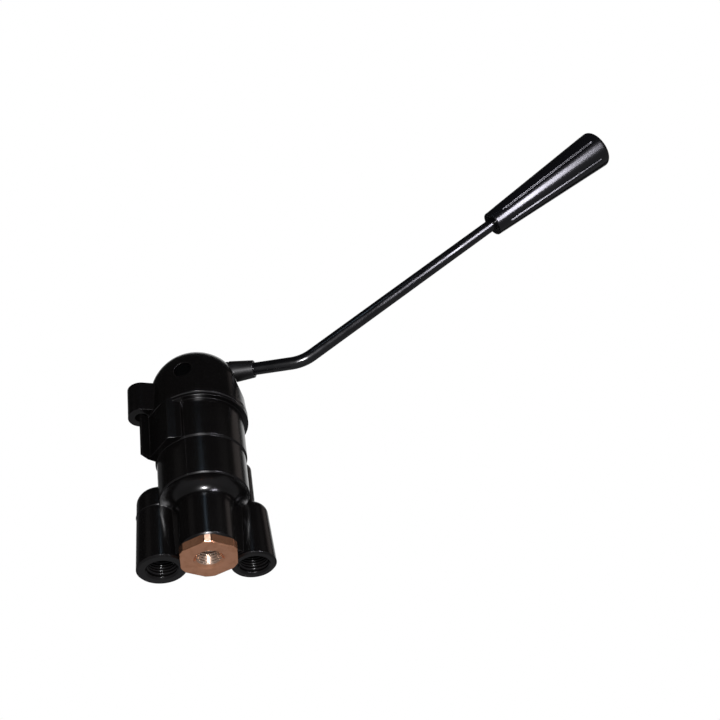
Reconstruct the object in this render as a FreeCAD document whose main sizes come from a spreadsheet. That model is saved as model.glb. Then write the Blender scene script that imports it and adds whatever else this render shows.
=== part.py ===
import FreeCAD, Part
import math
import os

import Sketcher
from FreeCAD import Placement, Rotation, Vector

# Hand brake valve, millimetres.
# The frame: +Z runs up the valve's axis from the brass supply port to the domed cover, the origin is
# the centre of the supply port's mouth, and the lever swings in the XZ plane on the +X side.

# Driving dimensions, one alias each. Angles are degrees, azimuths are counted from +X towards +Y.
SIZES = {
    # Fits and joints between pieces
    "running_gap": 0.05,
    "press_gap": 0.01,
    "side_gap": 0.3,
    # Brass supply adaptor
    "hex_flats": 27.0,
    "hex_height": 5.0,
    "hex_azimuth": 15.0,
    "hex_corner_cut": 1.7,
    "supply_bore": 5.2,
    "supply_thread_length": 12.0,
    "supply_mouth": 6.8,
    "supply_passage": 3.6,
    "shank_radius": 10.0,
    "shank_length": 12.0,
    "shank_groove_depth": 1.5,
    "shank_ring_section": 0.75,
    # Port body
    "neck_radius": 13.5,
    "neck_chamfer": 0.9,
    "shoulder_level": 31.0,
    "shoulder_fillet": 4.0,
    "shoulder_round": 4.4,
    "edge_step": 0.5,
    "lower_radius": 22.0,
    "upper_radius": 22.7,
    "step_level": 57.0,
    "flange_radius": 25.15,
    "flange_bottom": 80.5,
    "flange_top": 82.0,
    "spigot_radius": 22.4,
    "spigot_height": 7.0,
    "cylinder_bore": 17.5,
    "cylinder_floor": 38.0,
    "web_thickness": 3.0,
    "seat_bore": 5.5,
    "seat_lip_height": 0.6,
    "seat_lip_width": 1.0,
    "chamber_bore": 8.5,
    "guide_bore": 19.0,
    "guide_shelf": 76.5,
    # Side port bosses, in the ports' own row, turned about the axis
    "row_azimuth": 19.7,
    "row_half_pitch": 21.85,
    "row_offset": 14.4,
    "row_shift": 0.6,
    "boss_chamfer": 0.8,
    "left_boss_radius": 12.2,
    "left_boss_top_radius": 11.0,
    "left_boss_top": 49.4,
    "left_boss_round": 6.5,
    "right_boss_radius": 11.0,
    "right_boss_top_radius": 9.5,
    "right_boss_top": 39.0,
    "right_boss_round": 5.5,
    "boss_web_half": 5.0,
    "boss_web_rise": 2.0,
    "port_bore": 7.2,
    "port_mouth": 8.1,
    "port_depth": 14.0,
    "gallery_radius": 2.3,
    "cross_gallery_radius": 2.0,
    "gallery_distance": 24.0,
    "left_gallery_top": 44.4,
    "right_gallery_top": 61.5,
    "gallery_column_radius": 5.6,
    "gallery_column_top": 64.0,
    "gallery_column_round": 3.5,
    # Flat column and rib under each ear
    "column_azimuth": 131.0,
    "column_flat": 25.1,
    "column_front": 10.0,
    "column_back": 9.0,
    "rib_thickness": 2.2,
    "rib_height": 5.2,
    "gusset_span": 12.0,
    "gusset_drop": 5.5,
    # Seal between the flanges, snap ring and cover
    "gasket_thickness": 0.8,
    "rim_thickness": 2.0,
    "rim_step": 0.15,
    "skirt_radius": 24.9,
    "dome_radius": 24.0,
    "dome_inner_radius": 19.2,
    "pivot_level": 100.0,
    "saddle_radius": 22.0,
    "snap_ring_level": 85.8,
    "snap_ring_width": 1.2,
    "snap_ring_depth": 0.9,
    "snap_ring_opening": 10.0,
    # Mounting ears on the cover
    "ear_azimuth": 152.0,
    "ear_distance": 29.0,
    "ear_radius": 6.8,
    "ear_hole": 3.3,
    "ear_bottom": 84.0,
    "ear_top": 102.0,
    # Pivot pin, its clip, bush and washers
    "pin_radius": 3.0,
    "pin_head_radius": 4.3,
    "pin_head_thickness": 1.5,
    "pin_seat": 21.4,
    "pin_recess_gap": 0.4,
    "pin_end": 1.3,
    "clip_thickness": 0.8,
    "clip_groove_depth": 0.7,
    "clip_width": 1.9,
    "pivot_boss_radius": 7.0,
    "washer_thickness": 0.9,
    "washer_radius": 6.6,
    "bush_wall": 1.4,
    # Lever carrier: hub, cam and neck
    "hub_radius": 7.4,
    "hub_half_width": 6.0,
    "cam_half_width": 4.0,
    "cam_height": 14.0,
    "cam_lead": 8.0,
    "plunger_travel": 6.0,
    "lever_travel": 75.0,
    "neck_azimuth": 31.5,
    "neck_half_thickness": 4.4,
    "neck_half_width": 4.6,
    "neck_reach": 20.0,
    "neck_top": 3.6,
    "neck_top_length": 3.2,
    "slot_half_width": 5.2,
    "slot_end_gap": 0.5,
    "saddle_margin": 17.0,
    "collar_gap": 0.5,
    # Lever rod, collar and grip
    "rod_radius": 3.35,
    "rod_inner_angle": -8.0,
    "rod_outer_angle": 29.0,
    "rod_bend_radius": 18.0,
    "bend_reach": 57.9,
    "bend_rise": 6.3,
    "rod_inner_length": 43.0,
    "grip_start": 132.7,
    "rod_in_grip": 60.0,
    "collar_start": 17.15973,
    "collar_length": 13.2,
    "collar_large_radius": 5.9,
    "collar_small_radius": 4.65,
    "collar_chamfer": 0.5,
    "grip_length": 82.0,
    "grip_neck_radius": 6.65,
    "grip_neck_length": 8.0,
    "grip_end_radius": 10.5,
    "grip_end_round": 2.0,
    "grip_flute_width": 1.5,
    "grip_flute_depth": 0.9,
    "grip_flute_margin": 6.0,
    # Dust shield under the cover's slot
    "shield_half_width": 6.4,
    "shield_thickness": 0.8,
    "shield_half_span": 90.0,
    # Plunger and its guide
    "cam_gap": 0.1,
    "plunger_radius": 6.0,
    "plunger_flange_radius": 11.0,
    "plunger_flange_thickness": 3.0,
    "plunger_flange_top": 70.0,
    "guide_thickness": 3.5,
    "guide_boss_radius": 9.0,
    "guide_boss_height": 4.0,
    "guide_vent_radius": 2.0,
    "guide_vent_distance": 13.5,
    "guide_clip_thickness": 1.2,
    "guide_clip_width": 2.4,
    "guide_clip_depth": 1.0,
    "guide_clip_opening": 22.0,
    # Reaction piston
    "piston_bottom": 50.0,
    "piston_thickness": 6.0,
    "piston_groove_width": 2.8,
    "piston_ring_section": 1.25,
    "piston_boss_radius": 6.3,
    "piston_boss_height": 2.6,
    "piston_stem_radius": 4.0,
    "piston_vent_radius": 2.1,
    "seat_plate_radius": 11.0,
    "seat_plate_thickness": 1.0,
    "seat_plate_lip": 2.0,
    # Inlet valve
    "valve_disc_thickness": 2.0,
    "valve_head_radius": 7.2,
    "valve_head_thickness": 2.0,
    "valve_stem_radius": 2.5,
    "valve_stem_end": 18.8,
    "valve_guide_thickness": 2.0,
    "valve_guide_boss_radius": 4.2,
    "valve_guide_boss_height": 6.0,
    "valve_guide_hole": 1.3,
    "valve_guide_hole_distance": 6.3,
    # Springs: mean coil radius, wire radius and number of turns
    "graduating_coil": 8.6,
    "graduating_wire": 1.2,
    "graduating_turns": 3.0,
    "return_coil": 10.5,
    "return_wire": 0.8,
    "return_turns": 4.0,
    "valve_coil": 5.9,
    "valve_wire": 0.9,
    "valve_turns": 3.0,
}


class Size:
    """A length or angle: its number and the sheet expression that gives it."""

    def __init__(self, number, text):
        self.number = float(number)
        self.text = text

    def __add__(self, other):
        return joined(self, "+", other, self.number + number_of(other))

    def __radd__(self, other):
        return joined(other, "+", self, number_of(other) + self.number)

    def __sub__(self, other):
        return joined(self, "-", other, self.number - number_of(other))

    def __rsub__(self, other):
        return joined(other, "-", self, number_of(other) - self.number)

    def __mul__(self, other):
        return joined(self, "*", other, self.number * number_of(other))

    def __rmul__(self, other):
        return joined(other, "*", self, number_of(other) * self.number)

    def __truediv__(self, other):
        return joined(self, "/", other, self.number / number_of(other))

    def __neg__(self):
        return Size(-self.number, f"(0 - {self.text})")


def number_of(quantity):
    """The plain number of a Size or of a number."""
    return quantity.number if isinstance(quantity, Size) else float(quantity)


def text_of(quantity):
    """The sheet expression of a Size or of a number."""
    return quantity.text if isinstance(quantity, Size) else f"({float(quantity):.9f})"


def joined(left, sign, right, number):
    """A Size made of two quantities and the sign between them."""
    return Size(number, f"({text_of(left)} {sign} {text_of(right)})")


def sine(angle):
    """The sine of an angle in degrees."""
    return Size(math.sin(math.radians(number_of(angle))), f"sin({text_of(angle)})")


def cosine(angle):
    """The cosine of an angle in degrees."""
    return Size(math.cos(math.radians(number_of(angle))), f"cos({text_of(angle)})")


def size(alias):
    """A driving dimension by its alias."""
    return Size(SIZES[alias], f"dims.{alias}")


doc = FreeCAD.newDocument("hand_brake_valve")
sheet = doc.addObject("Spreadsheet::Sheet", "dims")
for row, (alias, number) in enumerate(SIZES.items(), start=1):
    sheet.set(f"A{row}", alias)
    sheet.set(f"B{row}", str(number))
    sheet.setAlias(f"B{row}", alias)
doc.recompute()

NODES = []


def node(shape_object):
    """Marks an object of the document as a sub-part that gets a file of its own."""
    NODES.append(shape_object)
    return shape_object


def bind(target, path, quantity):
    """Ties a property of an object to the sheet."""
    if isinstance(quantity, Size):
        target.setExpression(path, quantity.text)
    else:
        setattr(target, path, quantity)


def place(target, x=0.0, y=0.0, z=0.0, turn=None):
    """Gives an object its Placement, with its base tied to the sheet."""
    target.Placement = Placement(Vector(number_of(x), number_of(y), number_of(z)), turn or Rotation())
    for axis, quantity in zip("xyz", (x, y, z)):
        if isinstance(quantity, Size):
            target.setExpression(f".Placement.Base.{axis}", quantity.text)
    return target


def origin_feature(body, role):
    """One of a body's own origin planes or axes."""
    return next(item for item in body.Origin.OriginFeatures if item.Role == role)


def new_body(name):
    """An empty body with a label of its own."""
    body = doc.addObject("PartDesign::Body", name)
    body.Label = name
    return body


def new_sketch(body, name, role, lift=0.0):
    """A sketch on one of the body's planes, lifted along the plane's normal."""
    sketch = body.newObject("Sketcher::SketchObject", name)
    sketch.AttachmentSupport = [(origin_feature(body, role), "")]
    sketch.MapMode = "FlatFace"
    sketch.AttachmentOffset = Placement(Vector(0, 0, number_of(lift)), Rotation())
    if isinstance(lift, Size):
        sketch.setExpression(".AttachmentOffset.Base.z", lift.text)
    return sketch


def constrain(sketch, kind, places, quantity, name):
    """One dimension of a sketch, tied to the sheet."""
    index = sketch.addConstraint(Sketcher.Constraint(kind, *places, number_of(quantity)))
    sketch.renameConstraint(index, name)
    if isinstance(quantity, Size):
        sketch.setExpression(f"Constraints.{name}", quantity.text)


class Arc:
    """A corner that is reached by an arc about a centre."""

    def __init__(self, x, y, centre_x, centre_y):
        self.corner = (x, y)
        self.centre = (centre_x, centre_y)


def outline(body, name, role, steps, lift=0.0):
    """A closed sketch whose corners are tied to the sheet: each step is a corner (x, y) or an Arc."""
    sketch = new_sketch(body, name, role, lift)
    corners = [step.corner if isinstance(step, Arc) else step for step in steps]
    points = [Vector(number_of(x), number_of(y), 0) for x, y in corners]
    ends = []
    for index, start in enumerate(points):
        after = (index + 1) % len(points)
        step = steps[after]
        if isinstance(step, Arc):
            centre = Vector(number_of(step.centre[0]), number_of(step.centre[1]), 0)
            first = start - centre
            last = points[after] - centre
            forwards = first.cross(last).z > 0
            low, high = (first, last) if forwards else (last, first)
            angles = [math.atan2(spoke.y, spoke.x) for spoke in (low, high)]
            ring = Part.Circle(centre, Vector(0, 0, 1), first.Length)
            sketch.addGeometry(Part.ArcOfCircle(ring, *angles), False)
            ends.append((1, 2) if forwards else (2, 1))
        else:
            sketch.addGeometry(Part.LineSegment(start, points[after]), False)
            ends.append((1, 2))
    for index, (x, y) in enumerate(corners):
        before = index - 1 if index else len(corners) - 1
        sketch.addConstraint(Sketcher.Constraint("Coincident", before, ends[before][1], index, ends[index][0]))
        keep_x = keep_y = True
        if isinstance(steps[index], Arc):
            centre_x, centre_y = steps[index].centre
            keep_x = abs(number_of(y) - number_of(centre_y)) > abs(number_of(x) - number_of(centre_x))
            keep_y = not keep_x
            constrain(sketch, "DistanceX", (-1, 1, before, 3), centre_x, f"centre_x{index}")
            constrain(sketch, "DistanceY", (-1, 1, before, 3), centre_y, f"centre_y{index}")
        if keep_x:
            constrain(sketch, "DistanceX", (-1, 1, index, ends[index][0]), x, f"corner_x{index}")
        if keep_y:
            constrain(sketch, "DistanceY", (-1, 1, index, ends[index][0]), y, f"corner_y{index}")
    return sketch


def circles(body, name, role, rings, lift=0.0):
    """A sketch of separate circles, each (x, y, radius)."""
    sketch = new_sketch(body, name, role, lift)
    for index, (x, y, radius) in enumerate(rings):
        centre = Vector(number_of(x), number_of(y), 0)
        sketch.addGeometry(Part.Circle(centre, Vector(0, 0, 1), number_of(radius)), False)
        constrain(sketch, "DistanceX", (-1, 1, index, 3), x, f"centre_x{index}")
        constrain(sketch, "DistanceY", (-1, 1, index, 3), y, f"centre_y{index}")
        constrain(sketch, "Radius", (index,), radius, f"radius{index}")
    return sketch


def profile_feature(body, kind, name, sketch, **settings):
    """A feature made from a sketch, such as a Pad or a Groove."""
    feature = body.newObject(f"PartDesign::{kind}", name)
    feature.Profile = sketch
    for path, quantity in settings.items():
        bind(feature, path, quantity)
    sketch.Visibility = False
    return feature


def pad(body, name, sketch, length, side="One side"):
    """A pad along the sketch's normal."""
    return profile_feature(body, "Pad", name, sketch, Length=length, SideType=side)


def pocket_up(body, name, sketch, length):
    """A pocket that cuts along the sketch's normal."""
    return profile_feature(body, "Pocket", name, sketch, Length=length, Reversed=True)


def turned(name, steps, kind="Revolution", body=None):
    """A solid of revolution about Z, or a groove in a body, from a half section in X and Z."""
    body = body or new_body(name)
    sketch = outline(body, f"{name}_section", "XZ_Plane", steps)
    profile_feature(body, kind, f"{name}_turn", sketch, ReferenceAxis=(sketch, ["V_Axis"]), Angle=360.0)
    return body


def solid(kind, name, **settings):
    """A Part primitive with its sizes tied to the sheet."""
    item = doc.addObject(f"Part::{kind}", name)
    item.Label = name
    for path, quantity in settings.items():
        bind(item, path, quantity)
    return item


def fused(name, pieces):
    """One solid made of several."""
    item = doc.addObject("Part::MultiFuse", name)
    item.Label = name
    item.Shapes = pieces
    item.Refine = True
    return item


def cut(name, base, tools):
    """A solid less one tool, or less several at once."""
    item = doc.addObject("Part::Cut", name)
    item.Label = name
    item.Base = base
    item.Tool = tools[0] if len(tools) == 1 else fused(f"{name}_tools", tools)
    item.Refine = True
    return item


def common(name, pieces):
    """What several solids share."""
    item = doc.addObject("Part::MultiCommon", name)
    item.Label = name
    item.Shapes = pieces
    item.Refine = True
    return item


UP_TO_Y = Rotation(Vector(1, 0, 0), -90)
UP_TO_MINUS_Y = Rotation(Vector(1, 0, 0), 90)


def row_place(along):
    """A place in the side ports' row, counted along it from its middle."""
    shifted = along + size("row_shift")
    x = shifted * cosine(size("row_azimuth")) - size("row_offset") * sine(size("row_azimuth"))
    y = shifted * sine(size("row_azimuth")) + size("row_offset") * cosine(size("row_azimuth"))
    return x, y


def row_azimuth_of(along):
    """The azimuth, in degrees, of a place in the side ports' row."""
    x, y = row_place(along)
    return math.degrees(math.atan2(y.number, x.number))


def polar(radius, azimuth):
    """A place given by its distance from the axis and its azimuth."""
    return radius * cosine(azimuth), radius * sine(azimuth)


# Levels and radii that several pieces share
shank_end = size("hex_height") + size("shank_length")
seat_level = size("cylinder_floor") - size("web_thickness") - size("seat_lip_height")
valve_guide_top = shank_end + size("valve_guide_thickness")
valve_head_top = seat_level - size("valve_disc_thickness")
valve_head_bottom = valve_head_top - size("valve_head_thickness")
piston_top = size("piston_bottom") + size("piston_thickness")
seat_plate_top = piston_top + size("seat_plate_thickness")
plunger_flange_bottom = size("plunger_flange_top") - size("plunger_flange_thickness")
plunger_top = size("pivot_level") - size("cam_height") - size("cam_gap")
guide_top = size("guide_shelf") + size("guide_thickness")
spigot_top = size("flange_top") + size("spigot_height")
rim_bottom = size("flange_top") + size("gasket_thickness")
rim_top = rim_bottom + size("rim_thickness")
socket_radius = size("spigot_radius") + size("running_gap")
socket_top = spigot_top + size("side_gap")
boss_wall_face = size("hub_half_width") + size("washer_thickness") + 2 * size("running_gap")
hub_bore = size("pin_radius") + size("running_gap") + size("bush_wall")
rod_socket = size("rod_radius") + size("press_gap")
# From the place on the rod's inner run that is nearest to the pivot, to the bend's corner
inner_run = size("bend_reach") * cosine(size("rod_inner_angle")) + size("bend_rise") * sine(size("rod_inner_angle"))
collar_back = inner_run - size("collar_start")


def make_supply_adaptor():
    """Hexagon brass adaptor that screws into the neck and carries the supply thread."""
    body = new_body("supply_adaptor")
    corner_radius = size("hex_flats") / math.sqrt(3)
    corners = [polar(corner_radius, size("hex_azimuth") + 90 + 60 * turn) for turn in range(6)]
    pad(body, "adaptor_hexagon", outline(body, "adaptor_hexagon_outline", "XY_Plane", corners), size("hex_height"))
    beyond = corner_radius + 1
    land = corner_radius - size("hex_corner_cut")
    rise = beyond - land
    lower = [(land, 0), (beyond, 0), (beyond, rise * 0.6)]
    upper = [
        (land, size("hex_height")),
        (beyond, size("hex_height") - rise * 0.6),
        (beyond, size("hex_height")),
    ]
    turned("adaptor_lower_bevel", lower, "Groove", body)
    turned("adaptor_upper_bevel", upper, "Groove", body)
    groove_bottom = size("shank_radius") - size("shank_groove_depth")
    groove_start = size("hex_height") + 0.4
    groove_end = groove_start + 2 * size("shank_ring_section") + 0.3
    shank = [
        (0, size("hex_height") - 1),
        (groove_bottom, size("hex_height") - 1),
        (groove_bottom, groove_end),
        (size("shank_radius"), groove_end),
        (size("shank_radius"), shank_end - 0.8),
        (size("shank_radius") - 0.8, shank_end),
        (0, shank_end),
    ]
    turned("adaptor_shank", shank, "Revolution", body)
    thread_end = size("supply_thread_length")
    bore = [
        (0, 0),
        (size("supply_mouth"), 0),
        (size("supply_bore"), size("supply_mouth") - size("supply_bore")),
        (size("supply_bore"), thread_end),
        (size("supply_passage"), thread_end + (size("supply_bore") - size("supply_passage"))),
        (size("supply_passage"), shank_end),
        (0, shank_end),
    ]
    turned("adaptor_bore", bore, "Groove", body)
    node(body)
    ring = solid(
        "Torus",
        "adaptor_seal",
        Radius1=groove_bottom + size("shank_ring_section") + size("press_gap"),
        Radius2=size("shank_ring_section"),
    )
    node(place(ring, z=(groove_start + groove_end) / 2))


def body_core():
    """The turned core of the port body: neck, shoulder, both cylinder sections, flange and spigot."""
    neck = size("neck_radius")
    shoulder = size("shoulder_level")
    fillet = size("shoulder_fillet")
    crown = size("shoulder_round")
    step = size("edge_step")
    lower = size("lower_radius")
    upper = size("upper_radius")
    snap_bottom = size("snap_ring_level")
    snap_top = snap_bottom + size("snap_ring_width")
    spigot = size("spigot_radius")
    snap_floor = spigot - size("snap_ring_depth")
    return turned(
        "body_core",
        [
            (0, size("hex_height")),
            (neck - size("neck_chamfer"), size("hex_height")),
            (neck, size("hex_height") + size("neck_chamfer") * 1.5),
            (neck, shoulder - fillet),
            Arc(neck + fillet, shoulder, neck + fillet, shoulder - fillet),
            (lower - step - crown, shoulder),
            Arc(lower - step, shoulder + crown, lower - step - crown, shoulder + crown),
            (lower, shoulder + crown + step),
            (lower, size("step_level")),
            (upper, size("step_level") + (upper - lower)),
            (upper, size("flange_bottom")),
            (size("flange_radius"), size("flange_bottom")),
            (size("flange_radius"), size("flange_top")),
            (spigot, size("flange_top")),
            (spigot, snap_bottom),
            (snap_floor, snap_bottom),
            (snap_floor, snap_top),
            (spigot, snap_top),
            (spigot, spigot_top),
            (0, spigot_top),
        ],
    )


def port_boss(side, along):
    """A side port's boss, a slightly tapered round tower with a rounded top, and its web to the neck."""
    radius = size(f"{side}_boss_radius")
    crown = size(f"{side}_boss_top_radius")
    top = size(f"{side}_boss_top")
    rounding = size(f"{side}_boss_round")
    face = size("hex_height")
    boss = turned(
        f"{side}_port_boss",
        [
            (0, face),
            (radius - size("boss_chamfer"), face),
            (radius, face + size("boss_chamfer")),
            (crown, top - rounding),
            Arc(crown - rounding, top, crown - rounding, top - rounding),
            (0, top),
        ],
    )
    x, y = row_place(along)
    place(boss, x, y)
    web = new_body(f"{side}_boss_web")
    half = size("boss_web_half")
    reach = Size(math.hypot(x.number, y.number), f"sqrt({x.text} * {x.text} + {y.text} * {y.text})")
    base = face + size("boss_web_rise")
    corners = [(0, -half), (reach, -half), (reach, half), (0, half)]
    web_outline = outline(web, f"{side}_boss_web_outline", "XY_Plane", corners, base)
    pad(web, f"{side}_boss_web_pad", web_outline, size("shoulder_level") + size("shoulder_round") - base)
    place(web, turn=Rotation(Vector(0, 0, 1), row_azimuth_of(along)))
    return [boss, web]


def port_bore(side, along):
    """The tapped bore of a side port, with its mouth's chamfer and drill point."""
    bore = size("port_bore")
    face = size("hex_height")
    mouth = size("port_mouth")
    end = face + size("port_depth")
    tool = turned(
        f"{side}_port_bore",
        [
            (0, face - 1),
            (mouth, face - 1),
            (mouth, face),
            (bore, face + mouth - bore),
            (bore, end),
            (0, end + bore * 0.5),
        ],
    )
    x, y = row_place(along)
    return place(tool, x, y)


def gallery(side, azimuth, top):
    """The air way from a side port up its boss and across into the cylinder."""
    radius = size("gallery_radius")
    floor = size("hex_height") + size("port_depth")
    x, y = polar(size("gallery_distance"), azimuth)
    rise = place(solid("Cylinder", f"{side}_gallery_rise", Radius=radius, Height=top - floor), x, y, floor)
    cross_radius = size("cross_gallery_radius")
    across = solid("Cylinder", f"{side}_gallery_across", Radius=cross_radius, Height=size("gallery_distance"))
    turn = Rotation(Vector(0, 0, 1), Vector(number_of(x), number_of(y), 0))
    return [rise, place(across, z=top - radius, turn=turn)]


def gallery_column(azimuth):
    """The round-topped column that houses the right port's air way beside the cylinder."""
    radius = size("gallery_column_radius")
    rounding = size("gallery_column_round")
    base = size("right_boss_top") - size("right_boss_round") - 4
    top = size("gallery_column_top")
    column = turned(
        "gallery_column",
        [
            (0, base),
            (radius, base),
            (radius, top - rounding),
            Arc(radius - rounding, top, radius - rounding, top - rounding),
            (0, top),
        ],
    )
    x, y = polar(size("gallery_distance"), azimuth)
    return place(column, x, y)


def ear_column(side, sign):
    """The flat-faced column under an ear with its thin rib, on the side that sign gives."""
    azimuth = size("column_azimuth") * sign
    low = size("step_level")
    tall = size("flange_top") - low
    flat = size("column_flat")

    def at(out, along):
        """A place by its distance along the flat's normal and along the flat, towards the lever."""
        x = out * cosine(azimuth) + along * sine(azimuth) * sign
        y = out * sine(azimuth) - along * cosine(azimuth) * sign
        return x, y

    inner = size("cylinder_bore") + 2
    column = new_body(f"{side}_column")
    corners = [
        at(inner, -size("column_back")),
        at(inner, size("column_front") + 4),
        at(flat - 3.5, size("column_front") + 2),
        at(flat, size("column_front")),
        at(flat, -size("column_back") + 1),
        at(flat - 1, -size("column_back")),
    ]
    corners = corners if sign > 0 else corners[::-1]
    pad(column, f"{side}_column_pad", outline(column, f"{side}_column_outline", "XY_Plane", corners, low), tall)
    rib = new_body(f"{side}_rib")
    thick = size("rib_thickness")
    edge = -size("column_back")
    lean = size("rib_height") * 0.35
    blade = [
        at(inner, edge),
        at(flat, edge),
        at(flat + size("rib_height"), edge + lean),
        at(flat + size("rib_height"), edge + lean + thick * 0.7),
        at(flat, edge + thick),
        at(inner, edge + thick),
    ]
    blade = blade if sign < 0 else blade[::-1]
    pad(rib, f"{side}_rib_pad", outline(rib, f"{side}_rib_outline", "XY_Plane", blade, low), tall)
    return [column, rib]


def flange_gusset(side, sign):
    """The sloped gusset that blends a column's end into the flange's underside."""
    gusset = new_body(f"{side}_gusset")
    inner = size("cylinder_bore") + 2
    top = size("flange_top") - 0.5
    drop = size("gusset_drop")
    section = outline(
        gusset,
        f"{side}_gusset_section",
        "XZ_Plane",
        [
            (inner, top),
            (inner, size("flange_bottom") - drop - 2),
            (size("upper_radius") - 0.4, size("flange_bottom") - drop),
            (size("flange_radius") - 0.2, size("flange_bottom")),
            (size("flange_radius") - 0.2, top),
        ],
    )
    axis = (section, ["V_Axis"])
    span = size("gusset_span")
    profile_feature(gusset, "Revolution", f"{side}_gusset_turn", section, ReferenceAxis=axis, Angle=span)
    middle = (SIZES["column_azimuth"] - 25) * sign
    start = middle if sign < 0 else middle - SIZES["gusset_span"]
    return place(gusset, turn=Rotation(Vector(0, 0, 1), start))


def body_bore():
    """All the turned bores of the port body in one tool: thread, chamber, seat, cylinder and guide."""
    level = size("hex_height") - 1
    floor = size("cylinder_floor")
    lip = size("seat_bore") + size("seat_lip_width")
    shank = size("shank_radius") + size("running_gap")
    chamber_top = floor - size("web_thickness")
    clip_bottom = guide_top
    clip_top = guide_top + size("guide_clip_thickness") + 2 * size("running_gap")
    clip_floor = size("guide_bore") + size("guide_clip_depth") + size("running_gap")
    return turned(
        "body_bore",
        [
            (0, level),
            (shank, level),
            (shank, shank_end),
            (size("chamber_bore"), shank_end),
            (size("chamber_bore"), chamber_top),
            (lip, chamber_top),
            (lip, seat_level),
            (size("seat_bore"), seat_level),
            (size("seat_bore"), floor),
            (size("cylinder_bore"), floor),
            (size("cylinder_bore"), size("guide_shelf")),
            (size("guide_bore"), size("guide_shelf")),
            (size("guide_bore"), clip_bottom),
            (clip_floor, clip_bottom),
            (clip_floor, clip_top),
            (size("guide_bore"), clip_top),
            (size("guide_bore"), spigot_top + 1),
            (0, spigot_top + 1),
        ],
    )


def make_port_body():
    """Moulded lower housing with the neck, the side ports, the cylinder and the cover's flange."""
    half = size("row_half_pitch")
    left_azimuth = row_azimuth_of(-half)
    right_azimuth = row_azimuth_of(half)
    masses = [
        body_core(),
        *port_boss("left", -half),
        *port_boss("right", half),
        gallery_column(right_azimuth),
        *ear_column("front", -1),
        *ear_column("rear", 1),
        flange_gusset("front", -1),
        flange_gusset("rear", 1),
    ]
    tools = [
        body_bore(),
        port_bore("left", -half),
        port_bore("right", half),
        *gallery("left", left_azimuth, size("left_gallery_top")),
        *gallery("right", right_azimuth, size("right_gallery_top")),
    ]
    node(cut("port_body", fused("body_masses", masses), tools))


def make_flange_gasket():
    """Flat dust seal between the body's flange and the cover's rim."""
    inner = size("spigot_radius") + size("running_gap")
    outer = size("flange_radius") - 0.1
    gasket = turned(
        "flange_gasket",
        [
            (inner, size("flange_top")),
            (outer, size("flange_top")),
            (outer, rim_bottom),
            (inner, rim_bottom),
        ],
    )
    node(gasket)


def open_ring(name, inner, outer, low, high, opening):
    """A flat ring with a gap, as a circlip or a snap ring has, its gap towards -X."""
    ring = new_body(name)
    section = outline(ring, f"{name}_section", "XZ_Plane", [(inner, low), (outer, low), (outer, high), (inner, high)])
    axis = (section, ["V_Axis"])
    span = 360 - opening
    profile_feature(ring, "Revolution", f"{name}_turn", section, ReferenceAxis=axis, Angle=span)
    return place(ring, turn=Rotation(Vector(0, 0, 1), 180 + number_of(opening) / 2))


def make_snap_ring():
    """Snap ring that sits half in the spigot's groove and half in the cover's, and holds the cover on."""
    depth = size("snap_ring_depth")
    inner = size("spigot_radius") - depth + size("running_gap")
    outer = socket_radius + depth - size("running_gap")
    low = size("snap_ring_level") + size("running_gap")
    high = size("snap_ring_level") + size("snap_ring_width") - size("running_gap")
    node(open_ring("cover_snap_ring", inner, outer, low, high, size("snap_ring_opening")))


def dome_shell():
    """The cover's dome and skirt, flattened along the lever's path by the saddle."""
    pivot = size("pivot_level")
    dome = size("dome_radius")
    rim = size("flange_radius")
    shell = turned(
        "dome_shell",
        [
            (0, rim_bottom),
            (rim, rim_bottom),
            (rim, rim_top),
            (size("skirt_radius") + size("rim_step"), rim_top),
            (size("skirt_radius"), rim_top + 1.4),
            (dome, pivot),
            Arc(0, pivot + dome, 0, pivot),
        ],
    )
    saddle = new_body("lever_saddle")
    radius = size("saddle_radius")
    low_angle = size("neck_azimuth") - size("saddle_margin")
    high_angle = size("neck_azimuth") + size("lever_travel") + size("saddle_margin")
    reach = 40
    low_x, low_z = radius * cosine(low_angle), pivot + radius * sine(low_angle)
    high_x, high_z = radius * cosine(high_angle), pivot + radius * sine(high_angle)
    section = outline(
        saddle,
        "lever_saddle_section",
        "XZ_Plane",
        [
            (low_x, low_z),
            Arc(high_x, high_z, 0, pivot),
            (high_x - reach * sine(high_angle), high_z + reach * cosine(high_angle)),
            (-2 * dome, rim_bottom - 5),
            (2 * dome, rim_bottom - 5),
            (low_x + reach * sine(low_angle), low_z - reach * cosine(low_angle)),
        ],
    )
    pad(saddle, "lever_saddle_pad", section, 4 * dome, "Symmetric")
    return common("dome_outside", [shell, saddle])


def ear(side, sign):
    """A mounting ear: a round boss and the web that joins it to the skirt."""
    azimuth = size("ear_azimuth") * sign
    low = size("ear_bottom")
    tall = size("ear_top") - low
    distance = size("ear_distance")
    x, y = polar(distance, azimuth)
    boss = place(solid("Cylinder", f"{side}_ear_boss", Radius=size("ear_radius"), Height=tall), x, y, low)
    web = new_body(f"{side}_ear_web")
    half = size("ear_radius")
    inner = size("dome_inner_radius") * 0.9

    def at(out, along):
        """A place by its distance out along the ear's azimuth and across it."""
        return out * cosine(azimuth) - along * sine(azimuth), out * sine(azimuth) + along * cosine(azimuth)

    corners = [at(inner, -half - 2), at(distance - half, -half), at(distance, -half)]
    corners += [at(distance, half), at(distance - half, half), at(inner, half + 2)]
    pad(web, f"{side}_ear_web_pad", outline(web, f"{side}_ear_web_outline", "XY_Plane", corners, low), tall)
    return [boss, web]


def ear_hole(side, sign):
    """The clearance hole through an ear."""
    x, y = polar(size("ear_distance"), size("ear_azimuth") * sign)
    tall = size("ear_top") - size("ear_bottom") + 2
    hole = solid("Cylinder", f"{side}_ear_hole", Radius=size("ear_hole"), Height=tall)
    return place(hole, x, y, size("ear_bottom") - 1)


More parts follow.
